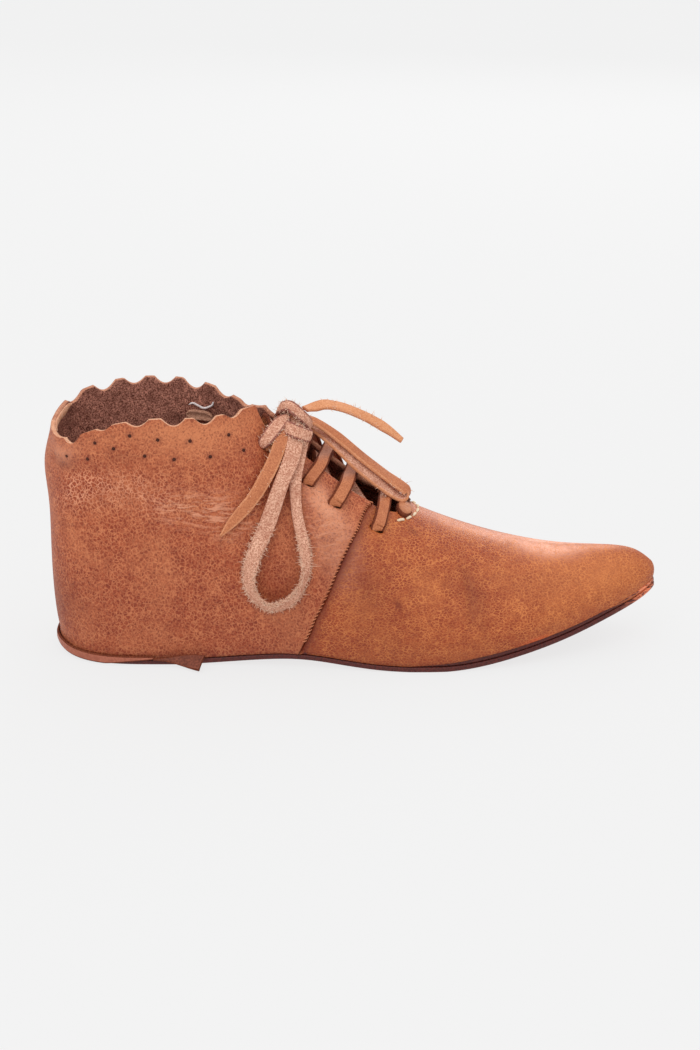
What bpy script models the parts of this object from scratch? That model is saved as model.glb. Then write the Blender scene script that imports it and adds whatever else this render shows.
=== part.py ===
"""A medieval ankle shoe in leather, for the right foot: pointed toe, scalloped collar, laced throat.

The toe points along +X, the shoe's outer side faces -Y and +Z is up. Sizes are in metres.
"""
from collections import namedtuple

import bmesh
import bpy
import numpy as np
from mathutils import Matrix

# Driving dimensions
LENGTH = 0.290
BALL_WIDTH = 0.092
COLLAR_HEIGHT = 0.1208
WALL = 0.0022
SOLE = 0.0026
RAND = 0.0010
INSOLE = 0.0026
GAP = 0.0003

# How far the layers under the wall reach past its outer face, or inside it where negative
SOLE_MARGIN = 0.0009
RAND_MARGIN = 0.0006
RAND_INNER = -0.0027
INSOLE_MARGIN = RAND_INNER - GAP

# The two sides of the shoe, by the sign of y: the outer side is the near one in the photograph
NEAR, FAR = -1, 1

# Throat: a slit with straight sides and a round end, over the instep, wider on the near side
THROAT_HALF = {NEAR: 0.0155, FAR: 0.0095}
THROAT_END = 0.173
THROAT_ROUND = 0.015
THROAT_SLIVER = 0.001

# Collar: round bites at an even pitch, counted along the edge from the back of the heel
SCALLOP_RADIUS = 0.004
SCALLOP_PITCH = 0.0163
SCALLOP_SIDES = 14

# Side seam: a groove along a straight line in the wall's own s and v, from the sole to the throat
SEAM_FOOT = 5.1
SEAM_SLOPE = 4.05
SEAM_BELOW = -0.03
SEAM_TOP = 0.80
SEAM_STEPS = 14
SEAM_HALF = 0.0008
SEAM_DEPTH = 0.0008

# Lace: a flat thong, narrower where it is pulled tight, and the slots that it runs through
# with room on each side
LACE_WIDTH = 0.0065
BAR_WIDTH = 0.0056
LACE_THICKNESS = 0.0016
LACE_LIFT = 0.0020
SLOT_ROOM = 0.0007
SLOT_LENGTH = BAR_WIDTH + 2 * SLOT_ROOM
SLOT_WIDTH = LACE_THICKNESS + 2 * SLOT_ROOM
SLOT_SHIFT = 0.0002
TURN_RADIUS = WALL / 2 + LACE_LIFT
BAR_ARCH = 0.0004
TURN_STEPS = 7
STUB = 0.006
STUB_DROP = 0.003
CUT_DEPTH = 0.012

# Heel strip: a band round the edge of the heel
STRIP = 0.0013
STRIP_HEIGHT = 0.0044

# The reference last that the section table is drawn on, in millimetres
LAST_LENGTH = 290.0
LAST_BALL = 92.0
LAST_COLLAR = 121.0

# One row for each section, from the back of the heel to the tip of the toe.
# along, sway, outer, inner, lift: place, centre and half widths of the sole seam,
# and height of the sole's underside
# top_along, top_outer, top_inner, near, far: the same for the collar, and then for the ridge of the instep
# low_out, low_up, high_out, high_down: how the wall leaves the sole seam, and how it comes up to its top
Section = namedtuple("Section", "along sway outer inner lift top_along top_outer top_inner near far "
                                "low_out low_up high_out high_down")
SECTIONS = (
    Section(6.6, 0, 0.0, 0.0, 3.2, 6.0, 0.0, 0.0, 110, 110, 5.2, 16, 2.0, 26),
    Section(13.0, 0, 20.0, 20.0, 1.2, 11.6, 21.0, 21.0, 108, 115, 5.0, 22, 3.0, 26),
    Section(33.0, 0, 31.0, 31.0, 0.0, 32.0, 32.0, 32.0, 116, 120.5, 4.0, 36, 2.5, 28),
    Section(63.0, 0, 32.5, 31.5, 0.0, 57.0, 35.0, 35.0, 120.8, 121.5, 6.0, 38, 1.0, 30),
    Section(92.0, 0, 33.5, 28.5, 2.2, 81.0, 31.5, 31.5, 120.8, 117.5, 9.0, 38, 3.0, 28),
    Section(118.0, 0, 35.5, 28.0, 4.0, 100.0, 18.0, 18.0, 122, 112, 10.0, 38, 9.5, 23),
    Section(138.0, 0, 38.5, 31.0, 2.8, 113.0, 0.0, 0.0, 117, 117, 9.5, 35, 24.0, 14),
    Section(156.0, 0, 41.0, 36.5, 0.9, 130.0, 0.0, 0.0, 101, 101, 8.5, 31, 24.0, 4.5),
    Section(173.0, 0, 42.0, 41.0, 0.0, 147.0, 0.0, 0.0, 85, 85, 7.5, 27, 24.0, 1.5),
    Section(190.0, 0, 41.5, 43.5, 0.0, 166.0, 0.0, 0.0, 72.2, 72.2, 7.0, 23, 25.0, 1.5),
    Section(208.0, 1, 39.5, 42.0, 1.8, 188.0, 0.0, 0.0, 61.4, 61.4, 6.5, 20, 24.0, 1.5),
    Section(228.0, 2, 34.5, 36.5, 5.5, 213.0, 0.0, 0.0, 52.8, 52.8, 6.0, 18, 21.0, 1.5),
    Section(248.5, 3, 27.0, 28.0, 10.5, 239.0, 0.0, 0.0, 48.3, 48.3, 5.0, 15, 16.0, 1.5),
    Section(268.0, 4, 17.5, 18.5, 16.5, 263.0, 0.0, 0.0, 46.8, 46.8, 4.0, 12, 10.0, 1.5),
    Section(283.0, 5, 9.0, 9.5, 22.0, 280.8, 0.0, 0.0, 44.0, 44.0, 3.0, 8, 5.0, 1.5),
    Section(290.0, 5, 0.0, 0.0, 25.5, 289.3, 0.0, 0.0, 38.0, 38.0, 1.4, 4, 1.2, 2),
)
RIDGE_START = 6
FRONT_RIB = 5
TIP = len(SECTIONS) - 1
RIBS_PER_ROW = 3
RIB_STEPS = 10
# Numbers for the working out: samples along a curve, halvings in a search, a small step, a merging distance
SAMPLES = 400
HALVINGS = 40
STEP = 1e-3
MERGE = 1e-6
ALONG = LENGTH / LAST_LENGTH
ACROSS = BALL_WIDTH / LAST_BALL
UP = COLLAR_HEIGHT / LAST_COLLAR

# Distance along the collar from the back of the heel to the first bite on each side
SCALLOP_START = {NEAR: 0.0137, FAR: 0.0060}

# Lace slots from the collar down, on the reference last
Slot = namedtuple("Slot", "along across")
NEAR_SLOTS = (
    Slot(106.0, 21.0),
    Slot(117.5, 20.5),
    Slot(127.5, 23.5),
    Slot(139.0, 25.0),
    Slot(158.5, 25.5),
)
FAR_SLOTS = (
    Slot(105.5, 21.0),
    Slot(119.5, 21.5),
    Slot(130.5, 23.5),
    Slot(141.0, 25.0),
    Slot(151.5, 25.5),
    Slot(165.0, 24.5),
)
# The slots that each half of the lace runs through, in order
STRANDS = {
    "lace_bars_one": ((FAR, 6), (NEAR, 5), (FAR, 4), (NEAR, 3), (FAR, 2), (NEAR, 1)),
    "lace_bars_two": ((FAR, 5), (NEAR, 4), (FAR, 3), (NEAR, 2), (FAR, 1)),
}

# Free lace: places on the reference last in millimetres, and the direction that its outer side faces
Lie = namedtuple("Lie", "along across height face_along face_across face_height")
FREE_LACE = {
    "lace_loop_near": (
        Lie(119.6, -11.6, 113.6, 0.3, -0.7, 0.65),
        Lie(120.4, -19.2, 109.0, 0.3, -0.7, 0.65),
        Lie(118.2, -26.6, 99.8, 0.2, -0.8, 0.55),
        Lie(113.1, -33.2, 88.0, 0.0, -0.9, 0.43),
        Lie(107.1, -37.9, 71.8, -0.1, -0.97, 0.2),
        Lie(101.3, -40.6, 58.7, -0.3, -0.94, 0.1),
        Lie(98.7, -41.5, 46.7, -0.6, -0.8, 0.0),
        Lie(100.4, -41.7, 38.4, -0.5, -0.78, -0.35),
        Lie(105.4, -41.9, 33.3, -0.2, -0.75, -0.6),
        Lie(111.0, -42.1, 32.6, 0.1, -0.72, -0.68),
        Lie(117.2, -42.1, 35.5, 0.4, -0.7, -0.55),
        Lie(122.1, -42.0, 42.0, 0.7, -0.65, -0.25),
        Lie(124.7, -41.4, 51.3, 0.78, -0.6, 0.0),
        Lie(123.5, -37.8, 63.0, 0.5, -0.82, 0.2),
        Lie(120.6, -33.4, 76.4, 0.2, -0.88, 0.42),
        Lie(120.0, -28.2, 89.4, 0.2, -0.8, 0.56),
        Lie(121.8, -22.0, 98.9, 0.2, -0.72, 0.66),
        Lie(123.8, -13.6, 106.4, 0.3, -0.65, 0.7),
    ),
    "lace_end_near": (
        Lie(113.0, -12.2, 114.2, 0.2, -0.6, 0.75),
        Lie(113.6, -18.8, 110.0, 0.2, -0.66, 0.72),
        Lie(112.2, -25.0, 103.8, 0.1, -0.75, 0.65),
        Lie(108.6, -30.6, 95.8, 0.0, -0.82, 0.56),
        Lie(103.4, -34.8, 87.6, 0.0, -0.88, 0.46),
        Lie(97.5, -37.0, 80.2, 0.0, -0.93, 0.36),
        Lie(91.2, -38.3, 73.0, 0.0, -0.96, 0.26),
        Lie(85.8, -39.3, 66.4, 0.0, -0.97, 0.2),
    ),
    "lace_loop_far": (
        Lie(125.2, -6.6, 112.4, 0.4, -0.4, 0.82),
        Lie(130.2, -5.4, 110.2, 0.5, -0.4, 0.77),
        Lie(139.8, -5.0, 103.0, 0.5, -0.4, 0.77),
        Lie(151.3, -4.0, 92.6, 0.5, -0.4, 0.77),
        Lie(162.6, -3.0, 83.2, 0.5, -0.4, 0.77),
        Lie(169.4, -2.2, 78.0, 0.6, -0.35, 0.72),
        Lie(172.3, -2.4, 74.8, 0.97, -0.15, -0.15),
        Lie(168.6, -3.6, 74.0, -0.1, 0.25, -0.96),
        Lie(160.6, -4.9, 80.4, -0.5, 0.4, -0.77),
        Lie(149.4, -5.6, 90.0, -0.5, 0.4, -0.77),
        Lie(138.6, -4.6, 99.4, -0.5, 0.4, -0.77),
        Lie(129.8, -1.6, 105.6, -0.5, 0.4, -0.77),
        Lie(124.4, 0.6, 109.0, -0.5, 0.4, -0.77),
    ),
    "lace_end_far": (
        Lie(124.1, -0.3, 115.4, -0.5, -0.4, 0.77),
        Lie(128.4, 2.5, 115.5, -0.3, -0.45, 0.84),
        Lie(133.9, 3.0, 116.6, 0, -0.45, 0.89),
        Lie(141.4, 3.5, 115.1, 0.25, -0.45, 0.86),
        Lie(148.9, 3.5, 112.1, 0.35, -0.45, 0.82),
        Lie(155.9, 3.5, 108.5, 0.4, -0.45, 0.8),
        Lie(162.9, 3.5, 104.1, 0.45, -0.45, 0.77),
        Lie(169.4, 3.5, 98.9, 0.5, -0.45, 0.74),
    ),
}
FREE_STEPS = 3
KNOT_PLACE = (119.2, -5.6, 116.2)
KNOT_SIZE = (15.5, 13.5, 12.8)

# Loose end of the heel strip, turned out from the near side, on the reference last
LooseEnd = namedtuple("LooseEnd", "along across height face_along face_across face_height width")
STRIP_END = (
    LooseEnd(60.0, -35.4, 2.8, 0.05, -1.0, 0.05, 4.6),
    LooseEnd(66.0, -36.9, 3.2, 0.0, -0.9, 0.35, 5.6),
    LooseEnd(71.5, -39.0, 3.7, -0.1, -0.7, 0.65, 7.2),
    LooseEnd(76.5, -41.4, 4.2, -0.2, -0.55, 0.8, 8.8),
)
STRIP_FROM = 2.7
STRIP_TO = 3.2
STRIP_STEPS = 15

# Colours of the leathers: base colour and roughness
LEATHERS = {
    "upper": ((0.33, 0.13, 0.055), 0.55),
    "sole": ((0.09, 0.025, 0.02), 0.5),
    "rand": ((0.30, 0.12, 0.06), 0.6),
    "insole": ((0.30, 0.17, 0.11), 0.8),
    "heel_strip": ((0.34, 0.15, 0.07), 0.6),
    "lace": ((0.36, 0.19, 0.10), 0.65),
}


def spline_controls():
    """Control rows, in metres, of the smooth curves through the section table, with one past each end."""
    scale = Section(ALONG, ACROSS, ACROSS, ACROSS, UP, ALONG, ACROSS, ACROSS, UP, UP, ACROSS, UP, ACROSS, UP)
    mirror = np.array(Section(1, 1, -1, -1, 1, 1, -1, -1, 1, 1, 1, 1, 1, 1))
    rows = np.array(SECTIONS) * np.array(scale)
    count = len(rows)
    controls = np.empty_like(rows)
    for sign in (1, -1):
        weights = (4 * np.eye(count) + np.eye(count, k=1) + np.eye(count, k=-1)) / 6
        weights[0, 1] = weights[-1, -2] = (1 + sign) / 6
        picked = mirror == sign
        controls[:, picked] = np.linalg.solve(weights, rows[:, picked])
    return np.vstack([controls[1] * mirror, controls, controls[-2] * mirror])


CONTROLS = spline_controls()


def spline(s):
    """Read the section table's smooth curves at the places s, counted in rows."""
    i = np.clip(np.floor(s).astype(int), 0, TIP - 1)
    t = (s - i)[:, None]
    weights = ((1 - t) ** 3, 3 * t ** 3 - 6 * t ** 2 + 4, 3 * t - 3 * t ** 3 + 3 * t ** 2 + 1, t ** 3)
    return sum(w * CONTROLS[i + k] for k, w in enumerate(weights)) / 6


def section(s):
    """Give the columns of the section table at the places s; the two sides meet along the ridge."""
    columns = Section(*spline(s).T)
    open_top = s < RIDGE_START
    ridge = (columns.near + columns.far) / 2
    return columns._replace(lift=np.maximum(columns.lift, 0),
                            top_outer=np.where(open_top, columns.top_outer, 0),
                            top_inner=np.where(open_top, columns.top_inner, 0),
                            near=np.where(open_top, columns.near, ridge),
                            far=np.where(open_top, columns.far, ridge))


ALONG_SAMPLES = section(np.linspace(0, TIP, SAMPLES))


def underside(along):
    """Height of the sole's underside at a place along the shoe."""
    return np.interp(along, ALONG_SAMPLES.along, ALONG_SAMPLES.lift)


def seam_plan(s, side):
    """Plan points of the sole seam and the directions that face out of it."""
    def place(at):
        c = section(at)
        half = c.outer if side == NEAR else c.inner
        return np.stack([c.along, c.sway + side * half], 1)
    run = place(s + STEP) - place(s - STEP)
    run /= np.linalg.norm(run, axis=1)[:, None]
    return place(s), np.stack([-side * run[:, 1], side * run[:, 0]], 1)


STACK = SOLE + RAND + 2 * GAP


def wall_point(s, v, side):
    """Points on the outer face of the upper: s runs from heel to toe, v from the sole seam to the top."""
    s = np.atleast_1d(np.asarray(s, float))
    v = np.atleast_1d(np.asarray(v, float))[:, None]
    c = section(s)
    plan, facing = seam_plan(s, side)
    out = np.column_stack([facing, np.zeros(len(s))])
    up = np.array([0.0, 0.0, 1.0])
    foot = np.column_stack([plan, c.lift + STACK])
    top_half = c.top_outer if side == NEAR else c.top_inner
    top_height = c.near if side == NEAR else c.far
    top = np.column_stack([c.top_along, c.sway + side * top_half, top_height])
    low = foot + out * c.low_out[:, None] + up * c.low_up[:, None]
    high = top + out * c.high_out[:, None] - up * c.high_down[:, None]
    w = 1 - v
    return w ** 3 * foot + 3 * w ** 2 * v * low + 3 * w * v ** 2 * high + v ** 3 * top


def unit(vectors):
    return vectors / np.linalg.norm(vectors, axis=-1, keepdims=True)


def wall_normal(s, v, side):
    """Directions that face out of the upper."""
    run = wall_point(s + STEP, v, side) - wall_point(s - STEP, v, side)
    rise = wall_point(s, v + STEP, side) - wall_point(s, v - STEP, side)
    return unit(np.cross(run, rise)) * -side


def throat_half(along, side):
    """How far the throat reaches from the middle at a place along the shoe, with a round end."""
    into_end = np.clip((along - THROAT_END + THROAT_ROUND) / THROAT_ROUND, 0, 1)
    return THROAT_HALF[side] * np.sqrt(1 - into_end ** 2)


def v_at_half(s, side, half_at):
    """The share of each rib's height where it comes as near to the shoe's middle as half_at says."""
    low = np.full(len(s), 0.5)
    high = np.ones(len(s))
    for _ in range(HALVINGS):
        middle = (low + high) / 2
        at = wall_point(s, middle, side)
        outside = side * at[:, 1] > half_at(at[:, 0])
        low = np.where(outside, middle, low)
        high = np.where(outside, high, middle)
    return high


def rib_tops(s, side):
    """Where each rib ends: at the collar, at the throat's edge, or on the ridge in front of the throat."""
    edge = v_at_half(s, side, lambda along: throat_half(along, side))
    past_end = section(s).top_along > THROAT_END - THROAT_SLIVER
    return np.where((s < FRONT_RIB) | past_end, 1.0, edge)


def seat(along, across, side):
    """The s and v of the place on the wall at a given length along the shoe and distance from its middle."""
    s = np.linspace(FRONT_RIB, TIP - 1, SAMPLES)
    v = v_at_half(s, side, lambda x: np.full(len(x), across))
    x = wall_point(s, v, side)[:, 0]
    return np.interp([along], x, s), np.interp([along], x, v)


def new_object(name, bm, collection, material=None):
    """Turn a bmesh into a named object in a collection."""
    bmesh.ops.remove_doubles(bm, verts=bm.verts, dist=MERGE)
    bmesh.ops.recalc_face_normals(bm, faces=bm.faces)
    mesh = bpy.data.meshes.new(name)
    bm.to_mesh(mesh)
    bm.free()
    obj = bpy.data.objects.new(name, mesh)
    collection.objects.link(obj)
    if material:
        mesh.materials.append(material)
    return obj


def grid_faces(bm, rows):
    """Join rows of points into a sheet of quads."""
    made = [[bm.verts.new(p) for p in row] for row in rows]
    for one, two in zip(made, made[1:]):
        for a, b, c, d in zip(one, one[1:], two[1:], two):
            bm.faces.new((a, b, c, d))


def add_thickness(obj, thickness, offset):
    solid = obj.modifiers.new("thickness", "SOLIDIFY")
    solid.thickness = thickness
    solid.offset = offset
    return solid


def cut(obj, cutter):
    boolean = obj.modifiers.new(cutter.name, "BOOLEAN")
    boolean.operation = "DIFFERENCE"
    boolean.solver = "EXACT"
    boolean.object = cutter


def new_cutter(name, bm, collection):
    obj = new_object(name, bm, collection)
    obj.hide_render = True
    obj.display_type = "WIRE"
    return obj


def framed(x, y, z, place):
    """A matrix that puts a shape's own x, y and z axes along three directions at a place."""
    matrix = Matrix.Identity(4)
    for column, vector in enumerate((x, y, z, place)):
        matrix.col[column][:3] = vector
    return matrix


def build_upper(collection, cutters, material):
    """The wall of vamp and quarters, open at collar, throat and sole."""
    bm = bmesh.new()
    places = np.linspace(0, TIP, TIP * RIBS_PER_ROW + 1)
    for side in (NEAR, FAR):
        tops = rib_tops(places, side)
        shares = np.linspace(0, 1, RIB_STEPS + 1)
        grid_faces(bm, [wall_point(places, share - (1 - tops) * share ** 3, side) for share in shares])
    upper = new_object("upper", bm, collection, material)
    add_thickness(upper, WALL, -1)
    cut(upper, scallop_cutter(cutters))
    cut(upper, slot_cutter(cutters))
    cut(upper, seam_cutter(cutters))
    return upper


def collar_run(side):
    """Places along the collar from the back of the heel to the throat, and how far along it each one is."""
    s = np.linspace(0, FRONT_RIB, SAMPLES)
    points = wall_point(s, np.ones(len(s)), side)
    steps = np.linalg.norm(np.diff(points, axis=0), axis=1)
    return s, np.concatenate([[0], np.cumsum(steps)])


def scallop_cutter(collection):
    """Round bites out of the collar's edge, at an even pitch from the back of the heel to the throat."""
    bm = bmesh.new()
    up = np.array([0.0, 0.0, 1.0])
    for side in (NEAR, FAR):
        s, run = collar_run(side)
        for distance in np.arange(SCALLOP_START[side], run[-1] - SCALLOP_RADIUS, SCALLOP_PITCH):
            at = np.interp([distance], run, s)
            top = np.ones(1)
            out = wall_normal(at, top - 10 * STEP, side)[0]
            place = wall_point(at, top, side)[0] - out * WALL / 2
            level = unit(np.cross(up, out))
            bmesh.ops.create_cone(bm, cap_ends=True, segments=SCALLOP_SIDES, radius1=SCALLOP_RADIUS,
                                  radius2=SCALLOP_RADIUS, depth=CUT_DEPTH,
                                  matrix=framed(level, np.cross(out, level), out, place))
    return new_cutter("scallops", bm, collection)


def slot_frames():
    """The middle of each lace slot, with the directions out of the wall and away from the throat."""
    frames = {}
    for side, rows in ((NEAR, NEAR_SLOTS), (FAR, FAR_SLOTS)):
        for number, row in enumerate(rows, 1):
            s, v = seat(row.along * ALONG, row.across * ACROSS, side)
            out = wall_normal(s, v, side)[0]
            across = np.array([0.0, side, 0.0])
            away = unit(across - out * (across @ out))
            frames[side, number] = (wall_point(s, v, side)[0] - out * WALL / 2, out, away)
    return frames


def slot_cutter(collection):
    bm = bmesh.new()
    size = np.diag([SLOT_LENGTH, SLOT_WIDTH, CUT_DEPTH, 1.0])
    for place, out, away in slot_frames().values():
        matrix = framed(np.cross(away, out), away, out, place - away * SLOT_SHIFT)
        bmesh.ops.create_cube(bm, size=1.0, matrix=matrix @ Matrix(size))
    return new_cutter("lace_slots", bm, collection)


def seam_cutter(collection):
    """A narrow groove where the quarters meet the vamp, down each side from the throat to the sole."""
    bm = bmesh.new()
    for side in (NEAR, FAR):
        v = np.linspace(SEAM_BELOW, SEAM_TOP, SEAM_STEPS)
        s = SEAM_FOOT + SEAM_SLOPE * v
        points = wall_point(s, v, side)
        out = wall_normal(s, v, side)
        run = unit(np.gradient(points, axis=0))
        beside = unit(np.cross(out, run))
        rows = []
        for across, height in ((-1, 2), (1, 2), (0, -1), (-1, 2)):
            rows.append(points + beside * across * SEAM_HALF + out * height * SEAM_DEPTH)
        grid_faces(bm, rows)
        caps = [[bm.verts.new(row[end]) for row in rows[:3]] for end in (0, -1)]
        for cap in caps:
            bm.faces.new(cap)
    return new_cutter("side_seams", bm, collection)


def edge_plan(s, side, margin):
    """Plan points a margin outside the sole seam."""
    plan, facing = seam_plan(s, side)
    return plan + facing * margin


def on_sole(plan, height):
    """Points at a height above the sole's underside."""
    return np.column_stack([plan, underside(plan[:, 0]) + height])


def thicken(bm, thickness):
    """Turn a flat or curved sheet into a plate, straight up from it."""
    made = bmesh.ops.extrude_face_region(bm, geom=bm.faces[:])["geom"]
    raised = [item for item in made if isinstance(item, bmesh.types.BMVert)]
    bmesh.ops.translate(bm, verts=raised, vec=(0, 0, thickness))


def build_plate(name, margin, height, thickness, collection, material):
    """A layer over the whole foot, such as the sole or the insole."""
    bm = bmesh.new()
    s = np.linspace(0, TIP, TIP * RIBS_PER_ROW + 1)
    grid_faces(bm, [on_sole(edge_plan(s, side, margin), height) for side in (NEAR, FAR)])
    bmesh.ops.remove_doubles(bm, verts=bm.verts, dist=MERGE)
    thicken(bm, thickness)
    return new_object(name, bm, collection, material)


def build_rand(collection, material):
    """The strip in the seam between sole and upper."""
    bm = bmesh.new()
    s = np.linspace(0, TIP, TIP * RIBS_PER_ROW + 1)
    for side in (NEAR, FAR):
        edges = [edge_plan(s, side, margin) for margin in (RAND_INNER, RAND_MARGIN)]
        grid_faces(bm, [on_sole(edge, SOLE + GAP) for edge in edges])
    bmesh.ops.remove_doubles(bm, verts=bm.verts, dist=MERGE)
    thicken(bm, RAND)
    return new_object("rand", bm, collection, material)


def smooth(rows, steps):
    """Read a smooth curve through rows, with a number of steps between each two."""
    rows = np.asarray(rows, float)
    rows = np.vstack([2 * rows[0] - rows[1], rows, 2 * rows[-1] - rows[-2]])
    at = np.linspace(0, len(rows) - 3, (len(rows) - 3) * steps + 1)
    i = np.minimum(at.astype(int), len(rows) - 4)
    t = (at - i)[:, None]
    a, b, c, d = (rows[i + k] for k in range(4))
    bend = 2 * a - 5 * b + 4 * c - d
    twist = 3 * b - a - 3 * c + d
    return 0.5 * (2 * b + (c - a) * t + bend * t ** 2 + twist * t ** 3)


def build_strip(name, places, faces, widths, thickness, collection, material):
    """A flat strip of leather along places, with its outer side turned to faces."""
    run = unit(np.gradient(places, axis=0))
    faces = unit(faces - run * np.sum(faces * run, axis=1, keepdims=True))
    beside = np.cross(run, faces) * np.broadcast_to(widths, len(places))[:, None] / 2
    bm = bmesh.new()
    grid_faces(bm, [places - beside, places + beside])
    strip = new_object(name, bm, collection, material)
    add_thickness(strip, thickness, 0)
    return strip


def build_heel_strip(collection, material):
    """The band round the heel, from its loose end on the near side to where it ends on the far side."""
    out = SOLE_MARGIN + GAP + STRIP / 2
    middle = GAP + STRIP_HEIGHT / 2
    places, faces = [], []
    runs = ((NEAR, np.linspace(STRIP_FROM, 0, STRIP_STEPS)), (FAR, np.linspace(0, STRIP_TO, STRIP_STEPS)[1:]))
    for side, s in runs:
        places.append(on_sole(edge_plan(s, side, out), middle))
        faces.append(np.column_stack([seam_plan(s, side)[1], np.zeros(len(s))]))
    loose = np.array(STRIP_END)[::-1]
    scale = np.array([ALONG, ACROSS, UP])
    places = np.vstack([loose[:, :3] * scale] + places)
    faces = np.vstack([loose[:, 3:6]] + faces)
    widths = np.concatenate([loose[:, 6] * UP, np.full(len(places) - len(loose), STRIP_HEIGHT)])
    return build_strip("heel_strip", places, faces, widths, STRIP, collection, material)


def slot_turn(frame, inward):
    """The lace's way round the edge of a slot: from the outside in, or from the inside out."""
    place, out, away = frame
    centre = place - away * TURN_RADIUS
    angles = np.radians(np.linspace(90, -90, TURN_STEPS))
    faces = np.outer(np.sin(angles), out) + np.outer(np.cos(angles), away)
    places = centre + faces * TURN_RADIUS
    return (places, faces) if inward else (places[::-1], faces[::-1])


def stub_end(place, frame, inside):
    """Where a short end of the lace stops past a slot: on the wall, or hanging clear of it inside."""
    out, away = frame[1:]
    return place - away * STUB - out * STUB_DROP * inside


def crossing(one, two, over):
    """The lace between two slots: past the throat's near and far edges, over the wall or under it."""
    up = np.array([0.0, 0.0, 1.0])
    span = two[1] - one[1]
    places, faces = [], []
    for side in (NEAR, FAR) if one[1] < 0 else (FAR, NEAR):
        along = np.interp(side * THROAT_HALF[side], sorted([one[1], two[1]]),
                          [one[0], two[0]] if span > 0 else [two[0], one[0]])
        s, v = seat(along, THROAT_HALF[side], side)
        out = wall_normal(s, v, side)[0]
        lift = LACE_LIFT if over else -WALL - LACE_LIFT
        places.append(wall_point(s, v, side)[0] + out * lift)
        faces.append(out if over else -out)
    sign = 1 if over else -1
    places.insert(1, (places[0] + places[1]) / 2 + up * sign * BAR_ARCH)
    faces.insert(1, up * sign)
    return np.array(places), np.array(faces)


def build_lace_bars(name, slots, collection, material):
    """One half of the laced thong, in and out of its slots."""
    frames = slot_frames()
    places, faces = [], []
    for number, key in enumerate(slots):
        inward = number % 2 == 1
        if number:
            bridge = crossing(frames[slots[number - 1]][0], frames[key][0], over=inward)
            places.append(bridge[0])
            faces.append(bridge[1])
        turn = slot_turn(frames[key], inward)
        places.append(turn[0])
        faces.append(turn[1])
    first = stub_end(places[0][0], frames[slots[0]], inside=True)
    last = stub_end(places[-1][-1], frames[slots[-1]], inside=inward)
    places = np.vstack([first] + places + [last])
    faces = np.vstack([faces[0][0]] + faces + [faces[-1][-1]])
    return build_strip(name, places, faces, BAR_WIDTH, LACE_THICKNESS, collection, material)


def build_free_lace(name, rows, collection, material):
    """A loop or an end of the bow."""
    smoothed = smooth(rows, FREE_STEPS)
    places = smoothed[:, :3] * np.array([ALONG, ACROSS, UP])
    return build_strip(name, places, smoothed[:, 3:], LACE_WIDTH, LACE_THICKNESS, collection, material)


def build_knot(collection, material):
    """The knot of the bow, as one soft lump."""
    bm = bmesh.new()
    scale = np.array([ALONG, ACROSS, UP])
    size = Matrix(np.diag(np.append(np.array(KNOT_SIZE) * scale, 1.0)))
    bmesh.ops.create_cube(bm, size=1.0, matrix=Matrix.Translation(np.array(KNOT_PLACE) * scale) @ size)
    knot = new_object("lace_knot", bm, collection, material)
    soft = knot.modifiers.new("soft", "SUBSURF")
    soft.levels = soft.render_levels = 2
    return knot


def leather(name):
    colour, roughness = LEATHERS[name]
    material = bpy.data.materials.new(name + "_leather")
    material.use_nodes = True
    shader = material.node_tree.nodes["Principled BSDF"]
    shader.inputs["Base Color"].default_value = (*colour, 1.0)
    shader.inputs["Roughness"].default_value = roughness
    shader.inputs["Metallic"].default_value = 0.0
    return material


def stand_on_origin(pieces, others):
    """Put everything under one empty, with the middle of the pieces' box over the origin."""
    bpy.context.view_layer.update()
    graph = bpy.context.evaluated_depsgraph_get()
    corners = np.array([corner for piece in pieces for corner in piece.evaluated_get(graph).bound_box])
    middle = (corners.min(axis=0) + corners.max(axis=0)) / 2
    root = bpy.data.objects.new("shoe_root", None)
    pieces[0].users_collection[0].objects.link(root)
    root.location = (-middle[0], -middle[1], 0)
    for obj in list(pieces) + list(others):
        obj.parent = root


def main():
    for obj in list(bpy.data.objects):
        bpy.data.objects.remove(obj)
    shoe = bpy.data.collections.new("medieval_shoe")
    cutters = bpy.data.collections.new("cutters")
    for collection in (shoe, cutters):
        bpy.context.scene.collection.children.link(collection)
    pieces = [
        build_plate("sole", SOLE_MARGIN, 0, SOLE, shoe, leather("sole")),
        build_rand(shoe, leather("rand")),
        build_plate("insole", INSOLE_MARGIN, SOLE + GAP, INSOLE, shoe, leather("insole")),
        build_upper(shoe, cutters, leather("upper")),
        build_heel_strip(shoe, leather("heel_strip")),
    ]
    lace = leather("lace")
    for name, slots in STRANDS.items():
        pieces.append(build_lace_bars(name, slots, shoe, lace))
    free = [build_free_lace(name, rows, shoe, lace) for name, rows in FREE_LACE.items()]
    free.append(build_knot(shoe, lace))
    stand_on_origin(pieces, free + list(cutters.objects))


main()
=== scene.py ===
"""Looks of a medieval leather ankle shoe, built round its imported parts. Sizes are in metres."""
from collections import namedtuple

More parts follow.
